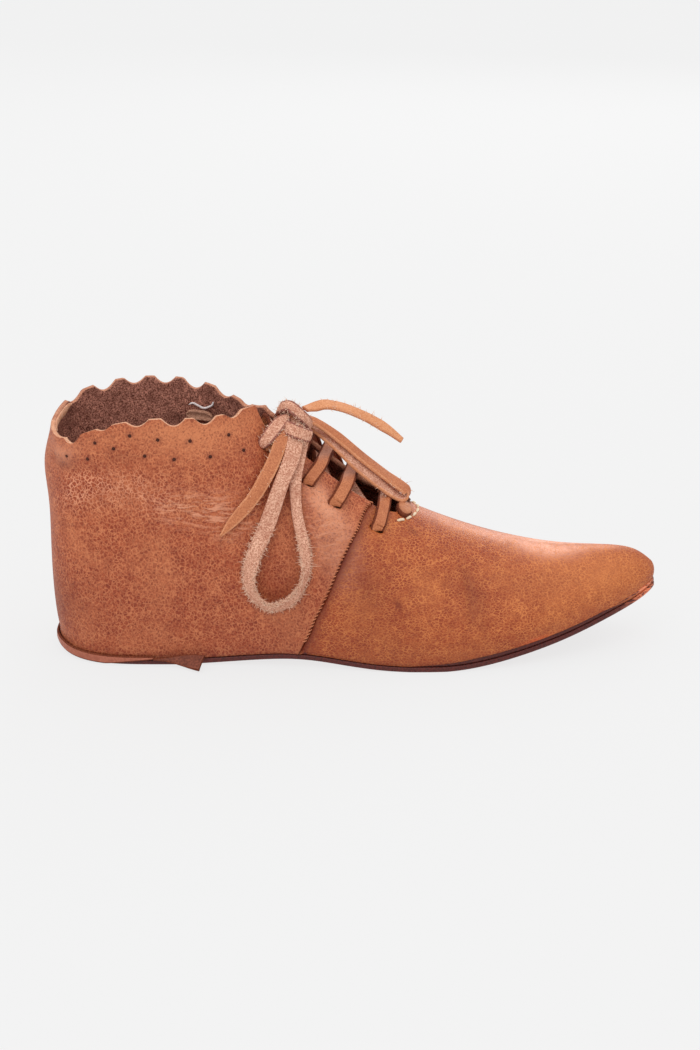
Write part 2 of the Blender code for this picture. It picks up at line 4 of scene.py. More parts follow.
import bmesh
import bpy
import numpy as np
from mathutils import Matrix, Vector


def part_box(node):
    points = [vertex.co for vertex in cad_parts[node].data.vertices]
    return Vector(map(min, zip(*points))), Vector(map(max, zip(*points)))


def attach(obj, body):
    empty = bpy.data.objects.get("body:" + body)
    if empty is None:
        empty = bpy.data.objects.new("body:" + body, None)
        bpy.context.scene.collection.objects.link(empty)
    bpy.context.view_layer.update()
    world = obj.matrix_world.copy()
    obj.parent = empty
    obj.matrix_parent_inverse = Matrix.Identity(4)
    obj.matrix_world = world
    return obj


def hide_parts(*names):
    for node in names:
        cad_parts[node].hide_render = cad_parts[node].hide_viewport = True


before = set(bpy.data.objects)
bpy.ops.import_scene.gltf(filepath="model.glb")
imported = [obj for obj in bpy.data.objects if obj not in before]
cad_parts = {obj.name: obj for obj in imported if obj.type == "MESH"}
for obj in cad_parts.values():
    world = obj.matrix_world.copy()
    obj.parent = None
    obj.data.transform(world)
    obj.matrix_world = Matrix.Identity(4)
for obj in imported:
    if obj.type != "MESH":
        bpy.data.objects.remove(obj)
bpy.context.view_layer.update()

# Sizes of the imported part, repeated from its source
NEAR, FAR = -1, 1
LENGTH = 0.290
BALL_WIDTH = 0.092
COLLAR_HEIGHT = 0.1208
WALL = 0.0022
SOLE = 0.0026
RAND = 0.0010
INSOLE = 0.0026
GAP = 0.0003
SOLE_MARGIN = 0.0009
RAND_MARGIN = 0.0006
RAND_INNER = -0.0027
INSOLE_MARGIN = RAND_INNER - GAP
THROAT_HALF = {NEAR: 0.0155, FAR: 0.0095}
THROAT_END = 0.173
THROAT_ROUND = 0.015
THROAT_SLIVER = 0.001
SEAM_FOOT = 5.1
SEAM_SLOPE = 4.05
LACE_WIDTH = 0.0065
BAR_WIDTH = 0.0056
LACE_THICKNESS = 0.0016
LACE_LIFT = 0.0020
SLOT_ROOM = 0.0007
SLOT_LENGTH = BAR_WIDTH + 2 * SLOT_ROOM
SLOT_WIDTH = LACE_THICKNESS + 2 * SLOT_ROOM
TURN_RADIUS = WALL / 2 + LACE_LIFT
TURN_STEPS = 7
STUB = 0.006
STUB_DROP = 0.003
STRIP = 0.0013
STRIP_HEIGHT = 0.0044
STACK = SOLE + RAND + 2 * GAP
LAST_LENGTH = 290.0
LAST_BALL = 92.0
LAST_COLLAR = 121.0
ALONG = LENGTH / LAST_LENGTH
ACROSS = BALL_WIDTH / LAST_BALL
UP = COLLAR_HEIGHT / LAST_COLLAR
SCALE = np.array([ALONG, ACROSS, UP])
MM = 0.001
UPWARD = np.array([0.0, 0.0, 1.0])

Section = namedtuple("Section", "along sway outer inner lift top_along top_outer top_inner near far "
                                "low_out low_up high_out high_down")
SECTIONS = (
    Section(6.6, 0, 0.0, 0.0, 3.2, 6.0, 0.0, 0.0, 110, 110, 5.2, 16, 2.0, 26),
    Section(13.0, 0, 20.0, 20.0, 1.2, 11.6, 21.0, 21.0, 108, 115, 5.0, 22, 3.0, 26),
    Section(33.0, 0, 31.0, 31.0, 0.0, 32.0, 32.0, 32.0, 116, 120.5, 4.0, 36, 2.5, 28),
    Section(63.0, 0, 32.5, 31.5, 0.0, 57.0, 35.0, 35.0, 120.8, 121.5, 6.0, 38, 1.0, 30),
    Section(92.0, 0, 33.5, 28.5, 2.2, 81.0, 31.5, 31.5, 120.8, 117.5, 9.0, 38, 3.0, 28),
    Section(118.0, 0, 35.5, 28.0, 4.0, 100.0, 18.0, 18.0, 122, 112, 10.0, 38, 9.5, 23),
    Section(138.0, 0, 38.5, 31.0, 2.8, 113.0, 0.0, 0.0, 117, 117, 9.5, 35, 24.0, 14),
    Section(156.0, 0, 41.0, 36.5, 0.9, 130.0, 0.0, 0.0, 101, 101, 8.5, 31, 24.0, 4.5),
    Section(173.0, 0, 42.0, 41.0, 0.0, 147.0, 0.0, 0.0, 85, 85, 7.5, 27, 24.0, 1.5),
    Section(190.0, 0, 41.5, 43.5, 0.0, 166.0, 0.0, 0.0, 72.2, 72.2, 7.0, 23, 25.0, 1.5),
    Section(208.0, 1, 39.5, 42.0, 1.8, 188.0, 0.0, 0.0, 61.4, 61.4, 6.5, 20, 24.0, 1.5),
    Section(228.0, 2, 34.5, 36.5, 5.5, 213.0, 0.0, 0.0, 52.8, 52.8, 6.0, 18, 21.0, 1.5),
    Section(248.5, 3, 27.0, 28.0, 10.5, 239.0, 0.0, 0.0, 48.3, 48.3, 5.0, 15, 16.0, 1.5),
    Section(268.0, 4, 17.5, 18.5, 16.5, 263.0, 0.0, 0.0, 46.8, 46.8, 4.0, 12, 10.0, 1.5),
    Section(283.0, 5, 9.0, 9.5, 22.0, 280.8, 0.0, 0.0, 44.0, 44.0, 3.0, 8, 5.0, 1.5),
    Section(290.0, 5, 0.0, 0.0, 25.5, 289.3, 0.0, 0.0, 38.0, 38.0, 1.4, 4, 1.2, 2),
)
RIDGE_START = 6
FRONT_RIB = 5
TIP = len(SECTIONS) - 1
SAMPLES = 400
HALVINGS = 40
HALF_WAY_UP = 0.5
STEP = 1e-3

# Lace slots in order from the collar. The third to fifth of the near side lie 1 to 2 mm nearer to the heel
# than in the part, as in the photograph
Slot = namedtuple("Slot", "along across")
SLOTS = {
    NEAR: (Slot(106.0, 21.0), Slot(117.5, 20.5), Slot(125.5, 23.5), Slot(138.0, 25.0), Slot(157.3, 25.5)),
    FAR: (Slot(105.5, 21.0), Slot(119.5, 21.5), Slot(130.5, 23.5), Slot(141.0, 25.0), Slot(151.5, 25.5),
          Slot(165.0, 24.5)),
}
STRANDS = {
    "lace_bars_one": ((FAR, 6), (NEAR, 5), (FAR, 4), (NEAR, 3), (FAR, 2), (NEAR, 1)),
    "lace_bars_two": ((FAR, 5), (NEAR, 4), (FAR, 3), (NEAR, 2), (FAR, 1)),
}
# The bow's free parts. The far loop's lower strand lies up to about 1.6 mm from the part's, as in the photo
Lie = namedtuple("Lie", "along across height face_along face_across face_height")
FREE_LACE = {
    "lace_loop_near": (
        Lie(119.6, -11.6, 113.6, 0.3, -0.7, 0.65),
        Lie(120.4, -19.2, 109.0, 0.3, -0.7, 0.65),
        Lie(118.2, -26.6, 99.8, 0.2, -0.8, 0.55),
        Lie(113.1, -33.2, 88.0, 0.0, -0.9, 0.43),
        Lie(107.1, -37.9, 71.8, -0.1, -0.97, 0.2),
        Lie(101.3, -40.6, 58.7, -0.3, -0.94, 0.1),
        Lie(98.7, -41.5, 46.7, -0.6, -0.8, 0.0),
        Lie(100.4, -41.7, 38.4, -0.5, -0.78, -0.35),
        Lie(105.4, -41.9, 33.3, -0.2, -0.75, -0.6),
        Lie(111.0, -42.1, 32.6, 0.1, -0.72, -0.68),
        Lie(117.2, -42.1, 35.5, 0.4, -0.7, -0.55),
        Lie(122.1, -42.0, 42.0, 0.7, -0.65, -0.25),
        Lie(124.7, -41.4, 51.3, 0.78, -0.6, 0.0),
        Lie(123.5, -37.8, 63.0, 0.5, -0.82, 0.2),
        Lie(120.6, -33.4, 76.4, 0.2, -0.88, 0.42),
        Lie(120.0, -28.2, 89.4, 0.2, -0.8, 0.56),
        Lie(121.8, -22.0, 98.9, 0.2, -0.72, 0.66),
        Lie(123.8, -13.6, 106.4, 0.3, -0.65, 0.7),
    ),
    "lace_end_near": (
        Lie(113.0, -12.2, 114.2, 0.2, -0.6, 0.75),
        Lie(113.6, -18.8, 110.0, 0.2, -0.66, 0.72),
        Lie(112.2, -25.0, 103.8, 0.1, -0.75, 0.65),
        Lie(108.6, -30.6, 95.8, 0.0, -0.82, 0.56),
        Lie(103.4, -34.8, 87.6, 0.0, -0.88, 0.46),
        Lie(97.5, -37.0, 80.2, 0.0, -0.93, 0.36),
        Lie(91.2, -38.3, 73.0, 0.0, -0.96, 0.26),
        Lie(85.8, -39.3, 66.4, 0.0, -0.97, 0.2),
    ),
    "lace_loop_far": (
        Lie(125.2, -6.6, 112.4, 0.4, -0.4, 0.82),
        Lie(130.2, -5.4, 110.2, 0.5, -0.4, 0.77),
        Lie(139.8, -5.0, 103.0, 0.5, -0.4, 0.77),
        Lie(151.3, -4.0, 92.6, 0.5, -0.4, 0.77),
        Lie(162.6, -3.0, 83.2, 0.5, -0.4, 0.77),
        Lie(169.4, -2.2, 78.0, 0.6, -0.35, 0.72),
        Lie(172.3, -2.4, 74.8, 0.97, -0.15, -0.15),
        Lie(168.6, -4.4, 73.6, -0.1, 0.35, -0.9),
        Lie(160.6, -6.6, 79.6, -0.5, 0.5, -0.7),
        Lie(149.4, -7.2, 89.2, -0.5, 0.5, -0.7),
        Lie(138.6, -5.4, 99.2, -0.5, 0.4, -0.77),
        Lie(129.8, -1.6, 105.6, -0.5, 0.4, -0.77),
        Lie(124.4, 0.6, 109.0, -0.5, 0.4, -0.77),
    ),
    "lace_end_far": (
        Lie(124.1, -0.3, 115.4, -0.5, -0.4, 0.77),
        Lie(128.4, 2.5, 115.5, -0.3, -0.45, 0.84),
        Lie(133.9, 3.0, 116.6, 0, -0.45, 0.89),
        Lie(141.4, 3.5, 115.1, 0.25, -0.45, 0.86),
        Lie(148.9, 3.5, 112.1, 0.35, -0.45, 0.82),
        Lie(155.9, 3.5, 108.5, 0.4, -0.45, 0.8),
        Lie(162.9, 3.5, 104.1, 0.45, -0.45, 0.77),
        Lie(169.4, 3.5, 98.9, 0.5, -0.45, 0.74),
    ),
}
KNOT_PLACE = (119.2, -5.6, 116.2)
# Loose end of the heel strip, and how far the strip goes along s on the near and on the far side
LooseEnd = namedtuple("LooseEnd", "along across height face_along face_across face_height width")
FLAP = (
    LooseEnd(53.0, -35.2, 3.6, 0.05, -1.0, 0.05, 1.2),
    LooseEnd(60.0, -36.0, 3.9, 0.05, -0.95, 0.2, 2.8),
    LooseEnd(66.0, -37.2, 4.0, 0.0, -0.85, 0.45, 5.2),
    LooseEnd(71.5, -39.0, 4.1, -0.1, -0.7, 0.65, 7.4),
    LooseEnd(76.0, -41.0, 4.2, -0.2, -0.55, 0.8, 8.8),
)
STRIP_FROM = 2.7
STRIP_TO = 3.2

# Where the part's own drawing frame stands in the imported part: the middle of the knot is known in both
knot_low, knot_high = (np.array(corner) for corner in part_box("lace_knot"))
HOME = (knot_low + knot_high) / 2 - np.array(KNOT_PLACE) * SCALE
HOME[2] = 0.0

# Camera of the photograph: distance, height angle, and the place that it looks at in the drawing frame
VIEW_DISTANCE = 1.150
VIEW_ELEVATION = np.radians(19.5)
VIEW_TARGET = np.array([0.145, 0.0, 0.0578])
FOCAL_PIXELS = 2426.9
FRAME_HEIGHT = 1050
SENSOR = 36.0
CLIP_START = 0.05
CLIP_END = 50.0
view_back = np.array([0.0, -np.cos(VIEW_ELEVATION), np.sin(VIEW_ELEVATION)])
camera = bpy.data.objects.new("camera", bpy.data.cameras.new("camera"))
bpy.context.scene.collection.objects.link(camera)
camera.location = VIEW_TARGET + HOME + view_back * VIEW_DISTANCE
camera.rotation_mode = "QUATERNION"
camera.rotation_quaternion = Vector(-view_back).to_track_quat("-Z", "Y")
camera.data.sensor_width = SENSOR
camera.data.lens = FOCAL_PIXELS / FRAME_HEIGHT * SENSOR
camera.data.clip_start = CLIP_START
camera.data.clip_end = CLIP_END
bpy.context.scene.camera = camera


# Surfaces of the part, as its source draws them
def spline_controls():
    """Rows that steer smooth curves through the sections, mirrored past the heel and the toe."""
    scale = Section(ALONG, ACROSS, ACROSS, ACROSS, UP, ALONG, ACROSS, ACROSS, UP, UP,
                    ACROSS, UP, ACROSS, UP)
    mirror = np.array(Section(1, 1, -1, -1, 1, 1, -1, -1, 1, 1, 1, 1, 1, 1))
    rows = np.array(SECTIONS) * np.array(scale)
    count = len(rows)
    controls = np.empty_like(rows)
    for sign in (1, -1):
        weights = (4 * np.eye(count) + np.eye(count, k=1) + np.eye(count, k=-1)) / 6
        weights[0, 1] = weights[-1, -2] = (1 + sign) / 6
        picked = mirror == sign
        controls[:, picked] = np.linalg.solve(weights, rows[:, picked])
    return np.vstack([controls[1] * mirror, controls, controls[-2] * mirror])


CONTROLS = spline_controls()


def section(s):
    """The section at places along s, on the smooth curves."""
    i = np.clip(np.floor(s).astype(int), 0, TIP - 1)
    t = (s - i)[:, None]
    weights = ((1 - t) ** 3, 3 * t ** 3 - 6 * t ** 2 + 4, 3 * t - 3 * t ** 3 + 3 * t ** 2 + 1, t ** 3)
    columns = Section(*(sum(w * CONTROLS[i + k] for k, w in enumerate(weights)) / 6).T)
    open_top = s < RIDGE_START
    ridge = (columns.near + columns.far) / 2
    return columns._replace(lift=np.maximum(columns.lift, 0),
                            top_outer=np.where(open_top, columns.top_outer, 0),
                            top_inner=np.where(open_top, columns.top_inner, 0),
                            near=np.where(open_top, columns.near, ridge),
                            far=np.where(open_top, columns.far, ridge))


ALONG_SAMPLES = section(np.linspace(0, TIP, SAMPLES))


def underside(along):
    """Height of the sole's underside at places along the shoe."""
    return np.interp(along, ALONG_SAMPLES.along, ALONG_SAMPLES.lift)


def seam_plan(s, side):
    """Plan points of the sole seam and the directions that face out of it."""
    def place(at):
        c = section(at)
        half = c.outer if side == NEAR else c.inner
        return np.stack([c.along, c.sway + side * half], 1)
    run = place(s + STEP) - place(s - STEP)
    run /= np.linalg.norm(run, axis=1)[:, None]
    return place(s), np.stack([-side * run[:, 1], side * run[:, 0]], 1)


def wall_point(s, v, side):
    """Points on the outer face of the upper: s runs from heel to toe, v from the sole seam to the top."""
    s = np.atleast_1d(np.asarray(s, float))
    v = np.atleast_1d(np.asarray(v, float))[:, None]
    c = section(s)
    plan, facing = seam_plan(s, side)
    out = np.column_stack([facing, np.zeros(len(s))])
    foot = np.column_stack([plan, c.lift + STACK])
    top_half = c.top_outer if side == NEAR else c.top_inner
    top_height = c.near if side == NEAR else c.far
    top = np.column_stack([c.top_along, c.sway + side * top_half, top_height])
    low = foot + out * c.low_out[:, None] + UPWARD * c.low_up[:, None]
    high = top + out * c.high_out[:, None] - UPWARD * c.high_down[:, None]
    w = 1 - v
    return w ** 3 * foot + 3 * w ** 2 * v * low + 3 * w * v ** 2 * high + v ** 3 * top


def unit(vectors):
    return vectors / np.linalg.norm(vectors, axis=-1, keepdims=True)


def wall_normal(s, v, side):
    """Directions out of the upper's outer face."""
    s = np.atleast_1d(np.asarray(s, float))
    v = np.minimum(np.atleast_1d(np.asarray(v, float)), 1 - 2 * STEP)
    run = wall_point(s + STEP, v, side) - wall_point(s - STEP, v, side)
    rise = wall_point(s, v + STEP, side) - wall_point(s, v - STEP, side)
    return unit(np.cross(run, rise)) * -side


def throat_half(along, side):
    """How far the throat's edge is from the middle of the shoe at places along it."""
    into_end = np.clip((along - THROAT_END + THROAT_ROUND) / THROAT_ROUND, 0, 1)
    return THROAT_HALF[side] * np.sqrt(1 - into_end ** 2)


def v_at_half(s, side, half_at):
    """The v where the wall comes as near to the shoe's middle as half_at says, found by halving."""
    low = np.full(len(s), HALF_WAY_UP)
    high = np.ones(len(s))
    for _ in range(HALVINGS):
        middle = (low + high) / 2
        at = wall_point(s, middle, side)
        outside = side * at[:, 1] > half_at(at[:, 0])
        low = np.where(outside, middle, low)
        high = np.where(outside, high, middle)
    return high


def rib_tops(s, side):
    """The v of the upper's top edge: 1 but for where the throat is cut out."""
    edge = v_at_half(s, side, lambda along: throat_half(along, side))
    past_end = section(s).top_along > THROAT_END - THROAT_SLIVER
    return np.where((s < FRONT_RIB) | past_end, 1.0, edge)


def seat(along, across, side):
    """The s and v of a place on the wall, from its length along the shoe and distance from the middle."""
    s = np.linspace(FRONT_RIB, TIP - 1, SAMPLES)
    v = v_at_half(s, side, lambda x: np.full(len(x), across))
    x = wall_point(s, v, side)[:, 0]
    return np.interp([along], x, s), np.interp([along], x, v)


def collar_run(side):
    """Places along the collar in s, and the length run from the back of the heel to each."""
    s = np.linspace(0, FRONT_RIB, SAMPLES)
    points = wall_point(s, np.ones(len(s)), side)
    steps = np.linalg.norm(np.diff(points, axis=0), axis=1)
    return s, np.concatenate([[0], np.cumsum(steps)])


def edge_plan(s, side, margin):
    """Plan points at a margin outside the sole seam."""
    plan, facing = seam_plan(s, side)
    return plan + facing * margin


def on_sole(plan, height):
    """Points at a height over the sole's underside."""
    return np.column_stack([plan, underside(plan[:, 0]) + height])


def smooth(rows, steps):
    """Read a smooth curve through rows, with a number of steps between each two."""
    rows = np.asarray(rows, float)
    rows = np.vstack([2 * rows[0] - rows[1], rows, 2 * rows[-1] - rows[-2]])
    at = np.linspace(0, len(rows) - 3, (len(rows) - 3) * steps + 1)
    i = np.minimum(at.astype(int), len(rows) - 4)
    t = (at - i)[:, None]
    a, b, c, d = (rows[i + k] for k in range(4))
    bend = 2 * a - 5 * b + 4 * c - d
    twist = 3 * b - a - 3 * c + d
    return 0.5 * (2 * b + (c - a) * t + bend * t ** 2 + twist * t ** 3)


# Materials
def add(tree, kind, settings=None, numbered=None, **inputs):
    """Add a shader node, set its options, and set or link its inputs by number or by name."""
    node = tree.nodes.new(kind)
    for key, value in (settings or {}).items():
        setattr(node, key, value)
    named = {key.replace("_", " "): value for key, value in inputs.items()}
    for key, value in {**(numbered or {}), **named}.items():
        if isinstance(value, bpy.types.NodeSocket):
            tree.links.new(value, node.inputs[key])
        else:
            node.inputs[key].default_value = value
    return node


def vector_math(tree, operation, one, two):
    return add(tree, "ShaderNodeVectorMath", {"operation": operation}, {0: one, 1: two}).outputs[0]


def scaled(tree, place, factor):
    return add(tree, "ShaderNodeVectorMath", {"operation": "SCALE"}, Vector=place, Scale=factor).outputs[0]


def new_material(name, roughness, specular=0.35):
    """A material with its own shader, and the place on the object in millimetres."""
    material = bpy.data.materials.new(name)
    material.use_nodes = True
    tree = material.node_tree
    shader = tree.nodes["Principled BSDF"]
    shader.inputs["Roughness"].default_value = roughness
    shader.inputs["Specular IOR Level"].default_value = specular
    place = add(tree, "ShaderNodeTexCoord").outputs["Object"]
    return material, tree, shader, scaled(tree, place, 1 / MM)


def noise(tree, place, size, detail=3.0, roughness=0.55):
    """A cloudy pattern with features of about a size in millimetres."""
    return add(tree, "ShaderNodeTexNoise", Vector=place, Scale=1.0 / size, Detail=detail,
               Roughness=roughness).outputs["Fac"]


def cells(tree, place, size, feature="F1"):
    """Distances from the middles or the edges of cells of about a size in millimetres."""
    node = add(tree, "ShaderNodeTexVoronoi", {"feature": feature}, Vector=place, Scale=1.0 / size)
    return node.outputs["Distance"]


def ramp(tree, value, source, target=(0.0, 1.0)):
    """Stretch a value from one range to another, softly at both ends."""
    ends = dict(enumerate((*source, *target), 1))
    return add(tree, "ShaderNodeMapRange", {"interpolation_type": "SMOOTHSTEP"}, ends, Value=value).outputs[0]


def mix(tree, share, one, two):
    """Mix two colours."""
    return add(tree, "ShaderNodeMix", {"data_type": "RGBA"}, {0: share, 6: one, 7: two}).outputs[2]


def chain(tree, operation, *values):
    """Add or multiply values one after another."""
    result = values[0]
    for value in values[1:]:
        result = add(tree, "ShaderNodeMath", {"operation": operation}, {0: result, 1: value}).outputs[0]
    return result


def times(tree, *values):
    return chain(tree, "MULTIPLY", *values)


def stretched(tree, place, factors):
    return vector_math(tree, "MULTIPLY", place, factors)


def warped(tree, place, size, amount):
    """Push places about by a cloudy pattern, so that cells and lines come out uneven."""
    push = add(tree, "ShaderNodeTexNoise", Vector=place, Scale=1.0 / size, Detail=2.0).outputs["Color"]
    centred = vector_math(tree, "SUBTRACT", push, (0.5, 0.5, 0.5))
    return vector_math(tree, "ADD", place, scaled(tree, centred, amount))


def painted(tree, name):
    """The three channels of a painted attribute."""
    colour_of = add(tree, "ShaderNodeAttribute", {"attribute_name": name}).outputs["Color"]
    return list(add(tree, "ShaderNodeSeparateColor", Color=colour_of).outputs)[:3]


def layered(tree, shader, base, *layers):
    """Mix tints over a base colour one after another, each by its share, and give the shader the result."""
    for share, tint in layers:
        base = mix(tree, share, base, tint)
    tree.links.new(base, shader.inputs["Base Color"])


def bump(tree, shader, height, distance):
    node = add(tree, "ShaderNodeBump", Height=height, Distance=distance, Strength=1.0)
    tree.links.new(node.outputs["Normal"], shader.inputs["Normal"])


def colour(red, green, blue):
    """A colour as it shows on a screen, from 0 to 255, in the units that shaders use, by the sRGB curve."""
    share = np.array([red, green, blue]) / 255.0
    linear = np.where(share <= 0.04045, share / 12.92, ((share + 0.055) / 1.055) ** 2.4)
    return (*linear.tolist(), 1.0)


# Shares of the patterns in the colour, relief and gloss of leather, and the stretch of its long marks
CRACKLE_SHARE = 0.75
WRINKLE_SHARE = 0.70
WRINKLE_STRETCH = (0.16, 0.16, 1.0)
DASH_STRETCH = (0.45, 0.45, 1.6)
FINE_RELIEF = 0.35
GRIT_RELIEF = 1.1
MOTTLE_RELIEF = 0.9
WRINKLE_RELIEF = 0.6
PLAIN_RELIEF = 0.00018
EDGE_RELIEF = 0.00015
SMOOTHER = 0.08
ROUGHER = 0.10
Grain = namedtuple("Grain", "pit dark middle light pink worn grit cell stretch flecks pits lines "
                            "roughness relief")


def grain_leather(name, grain):
    """Grained leather: dark and pale flecks, a fine pale net, cloudy dye, and the places painted on it, among
    them painted highlights, sheen and shade.
    """
    material, tree, shader, place = new_material(name, grain.roughness)
    light, dark, worn = painted(tree, "tone")
    crackle, wrinkle, pink = painted(tree, "marks_and_sheen")
    uneven = stretched(tree, warped(tree, place, size=2.2, amount=1.7), grain.stretch)
    fine = noise(tree, place, size=0.7, detail=4.0, roughness=0.65)
    grit = noise(tree, uneven, size=grain.grit, roughness=0.72)
    mottle = noise(tree, place, size=5.0, detail=4.0, roughness=0.62)
    clouds = noise(tree, place, size=20.0, roughness=0.5)
    gather = ramp(tree, noise(tree, place, size=6.0), (0.34, 0.62), (0.4, 1.0))
    edges = cells(tree, uneven, grain.cell, "DISTANCE_TO_EDGE")
    net = times(tree, ramp(tree, edges, (0.01, 0.14), (1.0, 0.0)), gather)
    level = stretched(tree, warped(tree, place, size=6.0, amount=3.0), WRINKLE_STRETCH)
    wrinkles = ramp(tree, noise(tree, level, size=1.2, roughness=0.6), (0.46, 0.62))
    layered(tree, shader, mix(tree, ramp(tree, mottle, (0.34, 0.64)), grain.dark, grain.middle),
            (ramp(tree, clouds, (0.40, 0.75), (0.0, 0.30)), grain.light),
            # paler places, with the painted highlight on the toe
            (light, grain.light),
            # pinkish painted highlights and sheen
            (times(tree, pink, ramp(tree, mottle, (0.25, 0.60), (0.55, 1.0))), grain.pink),
            (ramp(tree, grit, (0.36, 0.50), (grain.pits, 0.0)), grain.pit),
            (ramp(tree, grit, (0.50, 0.64), (0.0, grain.flecks)), grain.light),
            (times(tree, net, grain.lines), grain.light),
            (times(tree, crackle, net, CRACKLE_SHARE), grain.pink),
            (times(tree, wrinkle, wrinkles, WRINKLE_SHARE), grain.pink),
            # darker places: stains, and painted shade in creases and folds, along the hem, beside the side
            # seam and round the pinholes
            (dark, grain.pit),
            (times(tree, worn, ramp(tree, mottle, (0.30, 0.55), (0.5, 1.0))), grain.worn))
    gloss = ramp(tree, fine, (0.3, 0.7), (grain.roughness - SMOOTHER, grain.roughness + ROUGHER))
    tree.links.new(gloss, shader.inputs["Roughness"])
    height = chain(tree, "ADD", times(tree, fine, FINE_RELIEF), times(tree, grit, GRIT_RELIEF),
                   times(tree, mottle, MOTTLE_RELIEF), times(tree, wrinkle, wrinkles, WRINKLE_RELIEF))
    bump(tree, shader, height, grain.relief)
    return material


def fibre_leather(name, dark, light, depth, size=0.55, speck=0.0):
    """The flesh side or a cut edge: short matted fibres, with dark specks."""
    material, tree, shader, place = new_material(name, roughness=0.92, specular=0.15)
    strands = noise(tree, warped(tree, place, size=1.2, amount=1.0), size, detail=5.0, roughness=0.7)
    clouds = noise(tree, place, size=7.0, detail=4.0, roughness=0.6)
    specks = cells(tree, warped(tree, place, size=1.5, amount=1.2), size=1.8)
    layered(tree, shader, mix(tree, ramp(tree, strands, (0.37, 0.63)), dark, light),
            (ramp(tree, clouds, (0.38, 0.72), (0.0, 0.5)), dark),
            (ramp(tree, specks, (0.10, 0.40), (speck, 0.0)), dark))
    bump(tree, shader, strands, depth)
    return material


def plain_leather(name, dark, light, size, roughness):
    """Smooth leather with a fine grain."""
    material, tree, shader, place = new_material(name, roughness)
    grain = noise(tree, place, size, detail=5.0, roughness=0.65)
    clouds = noise(tree, place, size=11.0, detail=4.0, roughness=0.6)
    layered(tree, shader, mix(tree, ramp(tree, grain, (0.30, 0.70)), dark, light),
            (ramp(tree, clouds, (0.42, 0.72), (0.0, 0.55)), dark))
    bump(tree, shader, grain, PLAIN_RELIEF)
    return material


def edge_leather(name, dark, light, line, bare):
    """The side of a sole: dark, with a paler line along its lower corner that is a painted highlight, and
    bare places.
    """
    material, tree, shader, place = new_material(name, roughness=0.5)
    height, worn = painted(tree, "tone")[:2]
    grain = noise(tree, place, size=0.9, detail=5.0, roughness=0.65)
    dashes = noise(tree, stretched(tree, place, DASH_STRETCH), size=1.3, roughness=0.6)
    # The paler line is a painted highlight where the lower corner catches the light
    corner = ramp(tree, height, (0.02, 0.22), (1.0, 0.0))
    layered(tree, shader, mix(tree, ramp(tree, grain, (0.30, 0.70)), dark, light),
            (times(tree, corner, ramp(tree, dashes, (0.38, 0.58))), line),
            (times(tree, worn, ramp(tree, dashes, (0.36, 0.56))), bare))
    bump(tree, shader, chain(tree, "ADD", grain, dashes), EDGE_RELIEF)
    return material


QUARTER = grain_leather("quarter_grain", Grain(
    pit=colour(96, 28, 13), dark=colour(146, 58, 30), middle=colour(163, 72, 39),
    light=colour(216, 133, 88), pink=colour(232, 160, 126), worn=colour(212, 112, 62),
    grit=0.95, cell=1.7, stretch=(1.0, 1.0, 0.85), flecks=0.46, pits=0.52, lines=0.66,
    roughness=0.54, relief=0.00034))
VAMP = grain_leather("vamp_grain", Grain(
    pit=colour(110, 36, 12), dark=colour(144, 54, 21), middle=colour(159, 67, 28),
    light=colour(214, 129, 70), pink=colour(246, 176, 148), worn=colour(216, 88, 40),
    grit=0.66, cell=1.4, stretch=(0.75, 0.75, 1.2), flecks=0.36, pits=0.30, lines=0.80,
    roughness=0.47, relief=0.00022))
FLESH = fibre_leather("upper_flesh", colour(78, 36, 26), colour(226, 156, 134), 0.0005, size=0.6, speck=0.6)
CUT_EDGE = fibre_leather("collar_edge", colour(196, 126, 92), colour(240, 194, 162), 0.0002)
# A darker copy of the cut edge for the far collar: painted shade
DIM_EDGE = fibre_leather("far_edge", colour(164, 102, 78), colour(220, 162, 132), 0.0002)
# Dark cut edges; the same dark fibre also stands for painted shade along the sides of the lace bars and in a
# ring round the stay
EDGE_AND_SHADE = fibre_leather("dark_edge_and_shade", colour(84, 38, 26), colour(138, 72, 46), 0.0002)
# The line colour is a painted highlight along the lower corner; bare is where the dye is worn off
SOLE_SKIN = edge_leather("sole_leather", colour(58, 18, 15), colour(98, 36, 29),
                         line=colour(156, 88, 76), bare=colour(232, 128, 88))
RAND_SKIN = edge_leather("rand_leather", colour(54, 17, 14), colour(94, 35, 28),
                         line=colour(152, 84, 70), bare=colour(238, 142, 104))
INSOLE_SKIN = plain_leather("insole_leather", colour(120, 78, 60), colour(160, 112, 88), 1.4, 0.8)
STRIP_SKIN = plain_leather("strip_leather", colour(150, 80, 58), colour(180, 106, 82), 1.6, 0.5)
STRIP_BACK = plain_leather("strip_back", colour(92, 44, 32), colour(140, 78, 58), 1.0, 0.8)
LACE_GRAIN = plain_leather("lace_grain", colour(166, 92, 56), colour(208, 132, 88), 0.7, 0.6)
# A brighter copy of the lace's grain side, for the far end, which faces up: painted light
LACE_BRIGHT = plain_leather("lace_bright", colour(196, 122, 78), colour(230, 164, 118), 0.7, 0.6)
LACE_FLESH = fibre_leather("lace_flesh", colour(178, 112, 88), colour(246, 196, 168), 0.0004, size=0.7)
